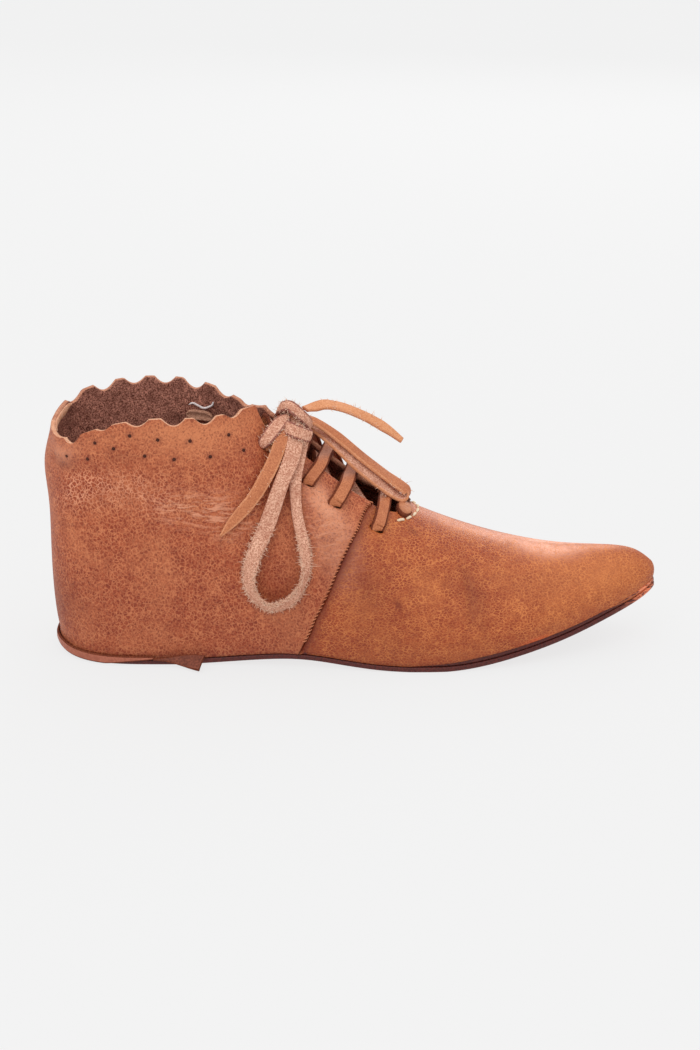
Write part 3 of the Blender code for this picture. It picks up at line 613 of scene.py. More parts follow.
# Dark mauve fibre for the edges of the knot's lace: painted shade between its wraps
LACE_MAUVE = fibre_leather("knot_edge_shade", colour(120, 70, 60), colour(186, 124, 108), 0.0003)
LACE_EDGE = fibre_leather("lace_edge", colour(192, 122, 84), colour(226, 160, 120), 0.0002)
FUZZ = plain_leather("lace_fuzz", colour(236, 184, 154), colour(252, 222, 198), 0.6, 0.9)
THREAD = plain_leather("thread", colour(224, 196, 160), colour(250, 232, 206), 0.4, 0.8)
SEAM_THREAD = plain_leather("seam_thread", colour(170, 92, 60), colour(214, 140, 102), 0.5, 0.8)
WHITE_THREAD = plain_leather("white_thread", colour(226, 214, 212), colour(250, 244, 244), 0.4, 0.7)
STAY_SKIN = plain_leather("stay_leather", colour(176, 108, 74), colour(206, 138, 98), 1.2, 0.5)
TAB_SKIN = fibre_leather("tab_leather", colour(150, 100, 80), colour(206, 160, 134), 0.0003)
# The dark of the pinholes: painted shade inside each hole
HOLE_SHADE = plain_leather("pinhole", colour(62, 26, 17), colour(88, 42, 28), 0.5, 0.9)


# Meshes
def new_piece(name, points, faces, materials, which=None, replaces=(), paint=None):
    """A piece of the shoe from points in the drawing frame, riding on the shoe."""
    mesh = bpy.data.meshes.new(name)
    mesh.from_pydata((np.asarray(points) + HOME).tolist(), [], faces)
    for material in materials:
        mesh.materials.append(material)
    if which is not None:
        mesh.polygons.foreach_set("material_index", np.asarray(which, dtype=np.int32))
    for key, values in (paint or {}).items():
        attribute = mesh.attributes.new(key, "FLOAT_COLOR", "POINT")
        rows = np.column_stack([values, np.ones(len(values))])
        attribute.data.foreach_set("color", rows.ravel().astype(np.float32))
    mesh.polygons.foreach_set("use_smooth", np.ones(len(mesh.polygons), dtype=bool))
    mesh.update()
    piece = bpy.data.objects.new(name + "_look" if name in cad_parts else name, mesh)
    bpy.context.scene.collection.objects.link(piece)
    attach(piece, "root")
    if replaces:
        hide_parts(*replaces)
    return piece


def grid_quads(rows, columns, start=0, turned=False):
    """Faces of a sheet of points stored row by row."""
    r, c = np.meshgrid(np.arange(rows - 1), np.arange(columns - 1), indexing="ij")
    a = (start + r * columns + c).ravel()
    quads = np.stack([a, a + 1, a + columns + 1, a + columns], 1)
    return quads[:, ::-1] if turned else quads


def ring_quads(count, size):
    """Faces between rings of points stored ring by ring."""
    base = np.arange(count - 1)[:, None] * size
    k = np.arange(size)[None, :]
    n = (k + 1) % size
    return np.stack([base + k, base + n, base + size + n, base + size + k], 2).reshape(-1, 4)


def turns(count):
    """Angles of even steps round a circle."""
    return np.linspace(0, 2 * np.pi, count, endpoint=False)


ROUND_END = 1.02


def rounded(count):
    """Shares of the full width along a strip or thread with round ends."""
    return np.sqrt(ROUND_END - np.linspace(-1, 1, count) ** 4)


def settle(piece):
    """Replace a piece's mesh by what its modifiers make of it."""
    graph = bpy.context.evaluated_depsgraph_get()
    mesh = bpy.data.meshes.new_from_object(piece.evaluated_get(graph))
    piece.modifiers.clear()
    piece.data = mesh


def weld(piece, distance=1e-6):
    """Join points that meet, drop points that no face uses, and turn the faces out."""
    bm = bmesh.new()
    bm.from_mesh(piece.data)
    bmesh.ops.remove_doubles(bm, verts=bm.verts, dist=distance)
    bmesh.ops.delete(bm, geom=[vert for vert in bm.verts if not vert.link_faces], context="VERTS")
    bmesh.ops.recalc_face_normals(bm, faces=bm.faces)
    bm.to_mesh(piece.data)
    bm.free()


# Upper: soft dents, folds and painted places, in the wall's own s and v, on one side or on both
BOTH = 0
Spot = namedtuple("Spot", "side s v reach_s reach_v amount")
SWELLS = (
    Spot(NEAR, 0.9, 0.84, 0.8, 0.10, -0.0012),
    Spot(NEAR, 2.2, 0.62, 1.2, 0.12, -0.0008),
    Spot(NEAR, 4.4, 0.50, 0.9, 0.16, 0.0006),
    Spot(NEAR, 7.2, 0.28, 0.8, 0.12, -0.0010),
    Spot(NEAR, 9.6, 0.40, 0.9, 0.12, -0.0008),
    Spot(BOTH, 12.0, 1.0, 0.6, 0.20, -0.0007),
    Spot(FAR, 2.4, 0.70, 1.1, 0.14, -0.0009),
    Spot(FAR, 6.6, 0.40, 1.2, 0.16, -0.0008),
    Spot(FAR, 1.0, 0.40, 0.8, 0.16, 0.0008),
)
HEEL_SWELL = Spot(BOTH, 0.0, 0.80, 0.60, 0.13, 0.0030)
HEEL_FADE = 0.45
PAINT = {
    # Paler places: bands just under the collar, and a painted highlight on the toe, near and far
    "light": (
        Spot(BOTH, 2.6, 0.94, 1.6, 0.05, 0.35),
        Spot(NEAR, 4.4, 0.93, 1.0, 0.07, 0.40),
        # painted highlight on the toe
        Spot(NEAR, 13.0, 0.50, 1.5, 0.40, 0.50),
        Spot(NEAR, 3.6, 0.86, 1.2, 0.10, 0.35),
        # painted highlight on the toe
        Spot(FAR, 13.0, 0.45, 1.0, 0.30, 0.45),
    ),
    # Darker places: stains and smudges at s 8.0, 9.12 and 2.30; painted shade in the near vamp's crease at s
    # 10.0; the rest darken the wall low down, beside the side seam at s 7.2 and at a few other places
    "dark": (
        Spot(NEAR, 0.5, 0.25, 0.5, 0.14, 0.30),
        Spot(NEAR, 8.0, 0.30, 0.07, 0.022, 0.65),
        Spot(NEAR, 9.12, 0.73, 0.14, 0.03, 0.45),
        Spot(NEAR, 2.30, 0.84, 0.25, 0.03, 0.22),
        # painted shade in the crease of the near vamp
        Spot(NEAR, 10.0, 0.40, 0.28, 0.20, 0.42),
        Spot(NEAR, 11.2, 0.50, 0.90, 0.10, 0.14),
        Spot(NEAR, 1.1, 0.86, 0.35, 0.030, 0.30),
        Spot(NEAR, 7.2, 0.34, 0.90, 0.20, 0.36),
        Spot(NEAR, 1.1, 0.26, 0.50, 0.10, 0.18),
        Spot(NEAR, 5.3, 0.22, 0.60, 0.16, 0.18),
        Spot(NEAR, 9.0, 0.05, 4.0, 0.10, 0.22),
        Spot(NEAR, 1.8, 0.14, 2.2, 0.22, 0.12),
        Spot(FAR, 0.6, 0.28, 0.5, 0.14, 0.30),
        Spot(FAR, 9.5, 0.42, 0.3, 0.06, 0.25),
    ),
    "worn": (
        Spot(BOTH, 14.2, 0.01, 0.40, 0.04, 0.60),
        Spot(BOTH, 11.2, 0.02, 0.30, 0.03, 0.45),
    ),
    "crackle": (
        Spot(NEAR, 1.35, 0.74, 0.40, 0.07, 0.90),
        Spot(NEAR, 1.88, 0.72, 0.40, 0.07, 0.90),
        Spot(NEAR, 2.48, 0.70, 0.40, 0.06, 0.80),
        Spot(NEAR, 2.98, 0.64, 0.40, 0.06, 0.70),
        Spot(FAR, 1.9, 0.66, 0.80, 0.09, 0.80),
    ),
    "wrinkle": (
        Spot(NEAR, 3.33, 0.61, 0.45, 0.06, 0.90),
        Spot(NEAR, 3.95, 0.59, 0.45, 0.06, 0.90),
        Spot(NEAR, 4.28, 0.52, 0.40, 0.06, 0.80),
        Spot(NEAR, 6.55, 0.50, 0.60, 0.14, 0.80),
        Spot(FAR, 3.6, 0.60, 0.70, 0.08, 0.80),
        Spot(FAR, 6.5, 0.50, 0.60, 0.14, 0.60),
    ),
    # Pinkish paint: painted highlights where the quarter faces up by the laces (s 6.5 to 6.9), painted sheen
    # along the vamp's ridge and in its dip (s 10.8 to 12.9), and a pale patch near the top of the heel (s
    # 1.1)
    "pink": (
        Spot(NEAR, 1.10, 0.91, 0.40, 0.06, 0.60),
        Spot(NEAR, 6.93, 0.56, 0.45, 0.10, 0.75),
        Spot(NEAR, 6.50, 0.42, 0.45, 0.10, 0.50),
        Spot(NEAR, 6.65, 0.64, 0.40, 0.07, 0.60),
        Spot(FAR, 6.8, 0.58, 0.60, 0.12, 0.60),
        Spot(BOTH, 10.8, 0.97, 1.60, 0.08, 0.70),
        Spot(BOTH, 11.9, 0.86, 0.60, 0.11, 0.90),
        Spot(BOTH, 12.9, 0.93, 0.80, 0.08, 0.55),
    ),
}
# The second attribute holds the crackle and wrinkle lines and the pinkish painted highlights and sheen
PAINT_CHANNELS = {"tone": ("light", "dark", "worn"), "marks_and_sheen": ("crackle", "wrinkle", "pink")}
Fold = namedtuple("Fold", "side s v to_s to_v half depth")
FOLDS = (
    Fold(NEAR, 10.02, 0.56, 9.72, 0.22, 0.0020, 0.0006),
    Fold(NEAR, 9.55, 0.50, 9.30, 0.22, 0.0030, 0.0004),
    Fold(NEAR, 3.05, 0.635, 4.10, 0.625, 0.0009, 0.00030),
    Fold(NEAR, 3.35, 0.600, 4.40, 0.585, 0.0009, 0.00032),
    Fold(NEAR, 3.60, 0.565, 4.55, 0.545, 0.0009, 0.00030),
    Fold(NEAR, 3.80, 0.530, 4.60, 0.505, 0.0009, 0.00026),
    Fold(NEAR, 0.75, 0.88, 1.9, 0.80, 0.0022, 0.0005),
    Fold(NEAR, 5.9, 0.20, 6.5, 0.46, 0.0020, 0.0004),
    Fold(FAR, 9.9, 0.56, 9.6, 0.22, 0.0024, 0.0006),
    Fold(FAR, 3.2, 0.62, 4.4, 0.59, 0.0010, 0.00030),
    Fold(FAR, 3.4, 0.58, 4.5, 0.55, 0.0010, 0.00030),
    Fold(FAR, 6.0, 0.20, 6.6, 0.46, 0.0020, 0.0004),
)
FOLD_SAMPLES = 14
FOLD_SHADE = 250
# Pinholes in s and v, and the reach in s and v and depth of the shade round each one
PIN_SHADE = (0.065, 0.013, 0.60)
PINHOLES = {
    NEAR: ((1.23, 0.90), (1.88, 0.93), (2.53, 0.93), (3.03, 0.90), (3.62, 0.89), (4.40, 0.89), (1.73, 0.86),
           (2.23, 0.88), (2.78, 0.83), (3.30, 0.81), (3.98, 0.81), (4.70, 0.80)),
    FAR: ((1.35, 0.91), (1.98, 0.93), (2.62, 0.92), (3.20, 0.90), (3.90, 0.89), (4.50, 0.89)),
}
# The side seam's bend along v. The quarter stands up there and the vamp lies low, by a pale line and a shade
SEAM_BEND = ((0.0, 0.06), (0.15, -0.09), (0.33, 0.0), (0.58, 0.12), (0.74, 0.02), (1.0, 0.0))
SEAM_BEND_REACH = 1.5
SEAM_SPREAD = 0.0125
SEAM_STEP = 0.0005
SEAM_STEP_BEHIND = 0.003
SEAM_STEP_AHEAD = 0.002
SEAM_PALE = 0.35
SEAM_PALE_AT = 0.0006
SEAM_PALE_REACH = 0.0005
SEAM_SHADE = 0.75
SEAM_SHADE_REACH = 0.0022
# How the lower edge of the upper laps over the rand, and the shade along it
HEM = 0.02
HEM_OUT = 0.0008
HEM_DROP = ((0.0, 0.0010), (8.0, 0.0010), (9.8, -0.0011), (12.8, -0.0011), (13.6, 0.0006))
HEM_SHADE = 0.30
HEM_SHADE_REACH = 0.03


def hump(off, reach):
    """A soft hump, 1 in its middle and nearly 0 past twice its reach."""
    return np.exp(-(off / reach) ** 2)


def spots(table, s, v, side):
    """Sum of the soft spots of a table at places on one side."""
    total = np.zeros(len(s))
    for spot in table:
        if spot.side in (side, BOTH):
            off_s, off_v = (s - spot.s) / spot.reach_s, (v - spot.v) / spot.reach_v
            total += spot.amount * np.exp(-off_s ** 2 - off_v ** 2)
    return total


def folds(points, side):
    """How deep the folds of one side press into the leather at its points."""
    total = np.zeros(len(points))
    for fold in FOLDS:
        if fold.side == side:
            line = wall_point(np.linspace(fold.s, fold.to_s, FOLD_SAMPLES),
                              np.linspace(fold.v, fold.to_v, FOLD_SAMPLES), side)
            distance = np.min([np.linalg.norm(points - place, axis=1) for place in line], axis=0)
            total += fold.depth * hump(distance, fold.half)
    return total


def bent(s, v):
    """Shift places near the side seam, so that it runs in a slight curve."""
    at, shift = zip(*SEAM_BEND)
    off = s - SEAM_FOOT - SEAM_SLOPE * v
    return s + np.interp(v, at, shift) * hump(off, SEAM_BEND_REACH)


def panel_points(s, v, side):
    """Points of the upper's outer face with its soft dents, and the painted places."""
    behind = (SEAM_FOOT + SEAM_SLOPE * v - s) * SEAM_SPREAD
    s = bent(s, v)
    flat = wall_point(s, v, side)
    pressed = folds(flat, side)
    swell = spots(SWELLS, s, v, side) * (1 - hump(s, HEEL_FADE)) - pressed
    swell += spots([HEEL_SWELL], s, v, side)
    step = np.where(behind >= 0, hump(behind, SEAM_STEP_BEHIND), -hump(behind, SEAM_STEP_AHEAD))
    swell += SEAM_STEP * step
    hem = hump(v, HEM)
    points = flat + wall_normal(s, v, side) * (swell + HEM_OUT * hem)[:, None]
    points[:, 2] -= np.interp(s, *zip(*HEM_DROP)) * hem
    ridge = (v >= 1) & (s > RIDGE_START)
    points[ridge, 1] = section(s[ridge]).sway
    values = {key: spots(table, s, v, side) for key, table in PAINT.items()}
    values["dark"] += spots([Spot(side, *place, *PIN_SHADE) for place in PINHOLES[side]], s, v, side)
    values["light"] += SEAM_PALE * hump(behind - SEAM_PALE_AT, SEAM_PALE_REACH)
    values["dark"] += SEAM_SHADE * hump(behind, SEAM_SHADE_REACH) * (behind < 0)
    values["dark"] += HEM_SHADE * hump(v, HEM_SHADE_REACH) + FOLD_SHADE * pressed
    paint = {key: np.clip(np.column_stack([values[name] for name in names]), 0, 1)
             for key, names in PAINT_CHANNELS.items()}
    return points, paint


# Panels of the upper: the spacing and number of their points, and where along s the seam and the vamp may end
COLUMN = 0.0011
PANEL_ROWS = 84
ROW_SPREAD = 0.35
PANEL_WELD = 1e-5
THROAT_COLUMNS = 60
THROAT_FOOT = 7.4
RIDGE_COLUMNS = 110
RIB_STEP = 0.05
SEAM_TOPS = (7.0, 9.2)
# Bites out of the collar, in s and millimetres, from the back of the heel to the throat
Bite = namedtuple("Bite", "s depth half")
BITES = {
    NEAR: (Bite(1.38, 3.4, 5.4), Bite(2.04, 1.6, 4.0), Bite(2.67, 2.8, 5.2), Bite(3.33, 3.5, 5.4),
           Bite(3.94, 3.2, 5.2), Bite(4.54, 2.6, 4.8)),
    FAR: (Bite(1.12, 3.4, 5.0), Bite(1.82, 4.0, 5.2), Bite(2.40, 3.3, 5.0), Bite(2.98, 3.5, 5.0),
          Bite(3.56, 4.2, 5.2), Bite(4.20, 3.0, 4.8), Bite(4.76, 1.5, 3.6)),
}
BITE_ROUND = 0.85


def quarter_top(side):
    """The quarter's upper edge in s and v: the scalloped collar, then the throat down to the side seam."""
    s, run = collar_run(side)
    distance = np.linspace(0, run[-1], int(run[-1] / COLUMN))
    collar_s = np.interp(distance, run, s)
    depth = np.zeros(len(distance))
    for bite in BITES[side]:
        off = np.abs(distance - np.interp(bite.s, s, run)) / (bite.half * MM)
        depth += bite.depth * MM * np.cos(np.minimum(off, 1) * np.pi / 2) ** BITE_ROUND
    full = np.ones(len(collar_s))
    below = wall_point(collar_s, full - RIB_STEP, side)
    rib = np.linalg.norm(wall_point(collar_s, full, side) - below, axis=1) / RIB_STEP
    throat_s = np.linspace(FRONT_RIB, seam_top(side), THROAT_COLUMNS)[1:]
    return np.concatenate([collar_s, throat_s]), np.concatenate([1 - depth / rib, rib_tops(throat_s, side)])


def seam_top(side):
    """Where along s the side seam meets the throat."""
    s = np.linspace(*SEAM_TOPS, SAMPLES)
    return s[np.argmax((s - SEAM_FOOT) / SEAM_SLOPE >= rib_tops(s, side))]


def quarter_edges(side):
    """The quarter's lower edge in s, and its upper edge in s and v."""
    top_s, top_v = quarter_top(side)
    return top_s * SEAM_FOOT / top_s[-1], top_s, top_v


def vamp_edges(side):
    """The vamp's lower edge in s, and its upper edge along the throat, round its end, and on the ridge."""
    first = seam_top(side)
    last = np.interp(THROAT_END, ALONG_SAMPLES.top_along, np.linspace(0, TIP, SAMPLES))
    s = last - (last - first) * np.linspace(1, 0, SAMPLES) ** 2
    v = v_at_half(s, side, lambda along: throat_half(along, side))
    v[-1] = 1.0
    steps = np.linalg.norm(np.diff(wall_point(s, v, side), axis=0), axis=1)
    run = np.concatenate([[0], np.cumsum(steps)])
    even = np.linspace(0, run[-1], int(run[-1] / COLUMN))
    throat_s, throat_v = np.interp(even, run, s), np.interp(even, run, v)
    ridge_s = np.linspace(last, TIP, RIDGE_COLUMNS)[1:]
    top_v = np.concatenate([throat_v, np.ones(len(ridge_s))])
    low_s = np.concatenate([np.linspace(SEAM_FOOT, THROAT_FOOT, len(even)),
                            np.linspace(THROAT_FOOT, TIP, len(ridge_s) + 1)[1:]])
    return low_s, np.concatenate([throat_s, ridge_s]), top_v


def slot_frames():
    """The middle of each lace slot, with the directions out of the wall and away from the throat."""
    frames = {}
    for side, rows in SLOTS.items():
        for number, row in enumerate(rows, 1):
            s, v = seat(row.along * ALONG, row.across * ACROSS, side)
            out = wall_normal(s, v, side)[0]
            across = np.array([0.0, side, 0.0])
            away = unit(across - out * (across @ out))
            frames[side, number] = (wall_point(s, v, side)[0] - out * WALL / 2, out, away)
    return frames


# How near to a slot the wall's points have to be, and how the faces inside it and their edge are told
SLOT_FRAMES = slot_frames()
SLOT_NEAR = 0.005
SLOT_FARTHEST = 9
SLOT_INSIDE = 1.1
SLOT_MIDDLE = 0.2


def open_slots(points, quads):
    """Take the lace slots out of a sheet: drop the faces in each one and move their edge to its outline."""
    keep = np.ones(len(quads), dtype=bool)
    for place, out, away in SLOT_FRAMES.values():
        level = np.cross(away, out)
        off = points - place - out * WALL / 2
        a, b = off @ level, off @ away
        reach = np.hypot(a / (SLOT_LENGTH / 2), b / (SLOT_WIDTH / 2))
        reach[np.abs(off @ out) > SLOT_NEAR] = np.inf
        inside = np.mean(np.minimum(reach, SLOT_FARTHEST)[quads], axis=1) < SLOT_INSIDE
        edge = np.intersect1d(quads[inside], quads[~inside])
        shift = (1 / np.maximum(reach[edge], SLOT_MIDDLE) - 1)[:, None]
        points[edge] += shift * (a[edge, None] * level + b[edge, None] * away)
        keep &= ~inside
    return quads[keep]


# Which skin a panel's faces have, after the grain side, which is the first
FLESH_SIDE, LIGHT_RIM, DARK_RIM, DIM_RIM = range(1, 5)
RIM_SHARE = 0.5


def sort_rims(piece):
    """Give a panel's cut edge its skin: pale on the near collar, a darker copy with painted shade on the far
    one, dark elsewhere.
    """
    mesh = piece.data
    top = np.zeros(len(mesh.vertices) * 4, dtype=np.float32)
    mesh.attributes["rim"].data.foreach_get("color", top)
    for polygon in mesh.polygons:
        if polygon.material_index == LIGHT_RIM:
            corners = np.array(polygon.vertices)
            if top[corners * 4].min() < RIM_SHARE:
                polygon.material_index = DARK_RIM
            elif top[corners * 4 + 1].min() < RIM_SHARE:
                polygon.material_index = DIM_RIM


def build_panel(name, grain, edges):
    """A leather panel on both sides of the shoe, from its lower and upper edges in s and v."""
    points, faces, paints, start = [], [], [], 0
    for side in (NEAR, FAR):
        low_s, top_s, top_v = edges(side)
        share = np.linspace(0, 1, PANEL_ROWS)[:, None]
        share = share * (1 + ROW_SPREAD - ROW_SPREAD * share)
        s = (low_s + (top_s - low_s) * share).ravel()
        v = (top_v * share).ravel()
        made, paint = panel_points(s, v, side)
        collar = (s < FRONT_RIB) & (side == NEAR)
        on_top = np.repeat(np.arange(PANEL_ROWS) == PANEL_ROWS - 1, len(low_s))
        paint["rim"] = np.column_stack([on_top, collar, on_top]).astype(float)
        faces.append(open_slots(made, grid_quads(PANEL_ROWS, len(low_s), turned=side == FAR)) + start)
        points.append(made)
        paints.append(paint)
        start += len(made)
    joined = {key: np.vstack([paint[key] for paint in paints]) for key in paints[0]}
    skins = (grain, FLESH, CUT_EDGE, EDGE_AND_SHADE, DIM_EDGE)
    piece = new_piece(name, np.vstack(points), np.vstack(faces).tolist(), skins, replaces=("upper",),
                      paint=joined)
    weld(piece, PANEL_WELD)
    solid = piece.modifiers.new("thickness", "SOLIDIFY")
    solid.thickness = WALL
    solid.offset = -1
    solid.material_offset = FLESH_SIDE
    solid.material_offset_rim = LIGHT_RIM
    settle(piece)
    sort_rims(piece)


build_panel("quarters", QUARTER, quarter_edges)
build_panel("vamp", VAMP, vamp_edges)


# Layers under the foot; a plate's edge goes from its lower to its upper face, in shares of its thickness
PLATE_COLUMNS = 260
PLATE_ROWS = 9
PLATE_EDGE = ((0.30, 0.0), (0.09, 0.08), (0.0, 0.25), (0.0, 0.5), (0.0, 0.75), (0.09, 0.92), (0.30, 1.0))
WORN_AT = 14.2
WORN_REACH = 0.60


def bare_share(s):
    """How far the dye is worn off the edge of the sole at the toe."""
    return hump(s - WORN_AT, WORN_REACH)


def plate(name, margin, height, thickness, material):
    """A layer over the whole foot with a rounded edge, made of a ring of points at each place along it."""
    s = np.linspace(0, TIP, PLATE_COLUMNS)
    sides = {}
    for side in (NEAR, FAR):
        sides[side] = [on_sole(edge_plan(s, side, margin - inset * thickness), height + up * thickness)
                       for inset, up in PLATE_EDGE]
    share = np.linspace(0, 1, PLATE_ROWS)[1:-1, None, None]
    below = list(sides[NEAR][0] + (sides[FAR][0] - sides[NEAR][0]) * share)
    above = list(sides[FAR][-1] + (sides[NEAR][-1] - sides[FAR][-1]) * share)
    rings = np.stack(below + sides[FAR] + above + sides[NEAR][::-1], 1)
    ups = [up for _, up in PLATE_EDGE]
    tone = np.tile([0.0] * len(below) + ups + [1.0] * len(above) + ups[::-1], PLATE_COLUMNS)
    worn = np.repeat(bare_share(s), rings.shape[1])
    paint = np.column_stack([tone, worn, tone])
    faces = ring_quads(PLATE_COLUMNS, rings.shape[1])
    weld(new_piece(name, rings.reshape(-1, 3), faces.tolist(), (material,), replaces=(name,),
                   paint={"tone": paint}))


plate("sole", SOLE_MARGIN, 0, SOLE, SOLE_SKIN)
plate("insole", INSOLE_MARGIN, SOLE + GAP, INSOLE, INSOLE_SKIN)

Strip = namedtuple("Strip", "places run faces beside widths thickness")
# Outline of a strip: how far across it, how far out on its round edges, and how high
FLAT = np.linspace(-1, 1, 7)
EDGE_TURNS = np.radians((65, 25, -25, -65))
RING = ([(share, 0.0, 1.0) for share in FLAT]
        + [(1.0, np.cos(t), np.sin(t)) for t in EDGE_TURNS]
        + [(share, 0.0, -1.0) for share in FLAT[::-1]]
        + [(-1.0, -np.cos(t), np.sin(t)) for t in EDGE_TURNS[::-1]])
OUTER, INNER, EDGE = range(3)
ROUND_EDGE = [EDGE] * (len(EDGE_TURNS) + 1)
RING_KINDS = [OUTER] * (len(FLAT) - 1) + ROUND_EDGE + [INNER] * (len(FLAT) - 1) + ROUND_EDGE
CORNER_MOST = 0.4
CUP_LEVEL = 0.4
# How uneven a seeded strip is: points to a knot of its waver, fewest knots, and size in width, aside and tilt
WAVER_POINTS = 9
WAVER_KNOTS = 4
WAVER_WIDTH = 0.05
WAVER_ASIDE = 0.00018
WAVER_TILT = 0.10


def wave(count, size, knots, seed):
    """A soft random line about zero."""
    drawn = np.random.default_rng(seed).normal(0, size, knots)
    return np.interp(np.linspace(0, knots - 1, count), np.arange(knots), drawn)


def new_strip(places, faces, widths, thickness, seed=None):
    """A flat strip along places with its outer side turned to faces, uneven where a seed is given."""
    count = len(places)
    run = unit(np.gradient(places, axis=0))
    faces = unit(faces - run * np.sum(faces * run, axis=1, keepdims=True))
    beside = np.cross(run, faces)
    widths = np.broadcast_to(widths, count).copy()
    if seed is not None:
        knots = max(WAVER_KNOTS, count // WAVER_POINTS)
        widths *= 1 + wave(count, WAVER_WIDTH, knots, seed)
        places = places + beside * wave(count, WAVER_ASIDE, knots, seed + 1)[:, None]
        tilt = wave(count, WAVER_TILT, knots, seed + 2)[:, None]
        faces, beside = unit(faces + beside * tilt), unit(beside - faces * tilt)
    return Strip(places, run, faces, beside, widths, np.broadcast_to(thickness, count))


def ribbon(strip, cup=0.0):
    """The points and faces of a strip with round edges, and which side each face is on."""
    half = strip.thickness / 2
    corner = np.minimum(half, strip.widths * CORNER_MOST)
    rings = []
    for share, turn, rise in RING:
        reach = share * (strip.widths / 2 - corner) + turn * corner
        lift = rise * half - cup * (share * share - CUP_LEVEL)
        rings.append(strip.places + strip.beside * reach[:, None] + strip.faces * lift[:, None])
    count, size = len(strip.places), len(RING)
    quads = ring_quads(count, size).tolist()
    which = RING_KINDS * (count - 1)
    for end in (0, (count - 1) * size):
        quads.append([end + k for k in range(size)])
        which.append(EDGE)
    return np.stack(rings, 1).reshape(-1, 3), quads, which


def strip_piece(name, strip, skins, replaces=(), cup=0.0):
    """A piece in the form of a strip, with skins for its outer side, its inner side and its edges."""
    points, quads, which = ribbon(strip, cup)
    piece = new_piece(name, points, quads, skins, which, replaces)
    weld(piece)
    return piece


# The rand's outline, in shares of its width from outside and of its height, and how much higher it stands
# along s, where the sole's edge looks deeper
RAND_RING = ((0.0, 0.25), (0.0, 0.75), (0.10, 1.0), (0.5, 1.0), (1.0, 1.0), (1.0, 0.0), (0.5, 0.0),
             (0.10, 0.0))
RAND_RISE = ((7.6, 0.0), (9.0, 0.0012), (10.0, 0.0014), (13.2, 0.0013), (14.6, 0.0006))
RAND_LEVEL = 0.5


def build_rand():
    """The strip in the seam between sole and upper."""
    s = np.linspace(0, TIP, PLATE_COLUMNS)
    rise = np.interp(s, *zip(*RAND_RISE))
    rise = np.concatenate([rise, rise[::-1]])
    sheets = []
    for inward, up in RAND_RING:
        margin = RAND_MARGIN - (RAND_MARGIN - RAND_INNER) * inward
        loop = np.vstack([edge_plan(s, NEAR, margin), edge_plan(s, FAR, margin)[::-1]])
        sheets.append(on_sole(loop, SOLE + GAP + (RAND + rise) * up))
    points = np.stack(sheets, 1)
    faces = ring_quads(len(points), len(RAND_RING))
    bare = np.repeat(bare_share(np.concatenate([s, s[::-1]])), len(RAND_RING))
    level = np.full(len(bare), RAND_LEVEL)
    weld(new_piece("rand", points.reshape(-1, 3), faces.tolist(), (RAND_SKIN,),
                   replaces=("rand",), paint={"tone": np.column_stack([level, bare, level])}))


build_rand()


# Width of the heel strip along s, in millimetres; on the near side it narrows to its twisted loose end
STRIP_TAPER = {NEAR: ((0.0, 0.9, 1.9, STRIP_FROM), (2.8, 4.4, 4.4, 1.6)), FAR: ((0.0, 0.9), (2.8, 4.4))}
STRIP_TURN = 1.4
STRIP_COLUMNS = 60
FLAP_STEPS = 10
FLAP_CUP = 0.0004


def build_heel_strip():
    """The band round the heel, and its loose end on the near side."""
    out = SOLE_MARGIN + GAP / 3 + STRIP / 2
    runs = ((NEAR, np.linspace(STRIP_FROM, 0, STRIP_COLUMNS)),
            (FAR, np.linspace(0, STRIP_TO, STRIP_COLUMNS)[1:]))
    places, faces, widths = [], [], []
    for side, s in runs:
        width = np.interp(s, *STRIP_TAPER[side]) * MM
        hung = (side == NEAR) & (s > STRIP_TURN)
        middle = GAP + np.where(hung, STRIP_HEIGHT - width / 2, width / 2)
        places.append(on_sole(edge_plan(s, side, out), middle))
        faces.append(np.column_stack([seam_plan(s, side)[1], np.zeros(len(s))]))
        widths.append(width)
    band = new_strip(np.vstack(places), np.vstack(faces), np.concatenate(widths), STRIP)
    strip_piece("heel_strip", band, (STRIP_SKIN, STRIP_BACK, EDGE_AND_SHADE), ("heel_strip",))
    rows = smooth(FLAP, FLAP_STEPS)
    flap = new_strip(rows[:, :3] * SCALE, rows[:, 3:6], rows[:, 6] * UP, STRIP)
    strip_piece("heel_strip_end", flap, (STRIP_BACK, STRIP_SKIN, EDGE_AND_SHADE), ("heel_strip",),
                FLAP_CUP)


build_heel_strip()


# Lace through the slots
BAR_LIFT = 0.0011
BAR_ARCH = 0.0010
BAR_LEAN = 0.009
BAR_STAND = 0.0030
BAR_LOOK = 0.0067
BAR_THICKNESS = 0.0019
BAR_STEPS = 4
BAR_CUP = 0.00012
BAR_SEED = 3
SEED_STEP = 10


def slot_turn(slot_frame, inward, outside_from, inside_from):
    """The lace's way round the edge of a slot, in line with where it comes from on each side of the wall."""
    place, out, _ = slot_frame
    places, faces = [], []
    for angle in np.radians(np.linspace(90, -90, TURN_STEPS)):
        away = place - (outside_from if angle > 0 else inside_from)
        away = unit(away - out * (away @ out))
        face = out * np.sin(angle) + away * np.cos(angle)
        places.append(place + (face - away) * TURN_RADIUS)
        faces.append(face)
    order = 1 if inward else -1
    return np.array(places)[::order], np.array(faces)[::order]


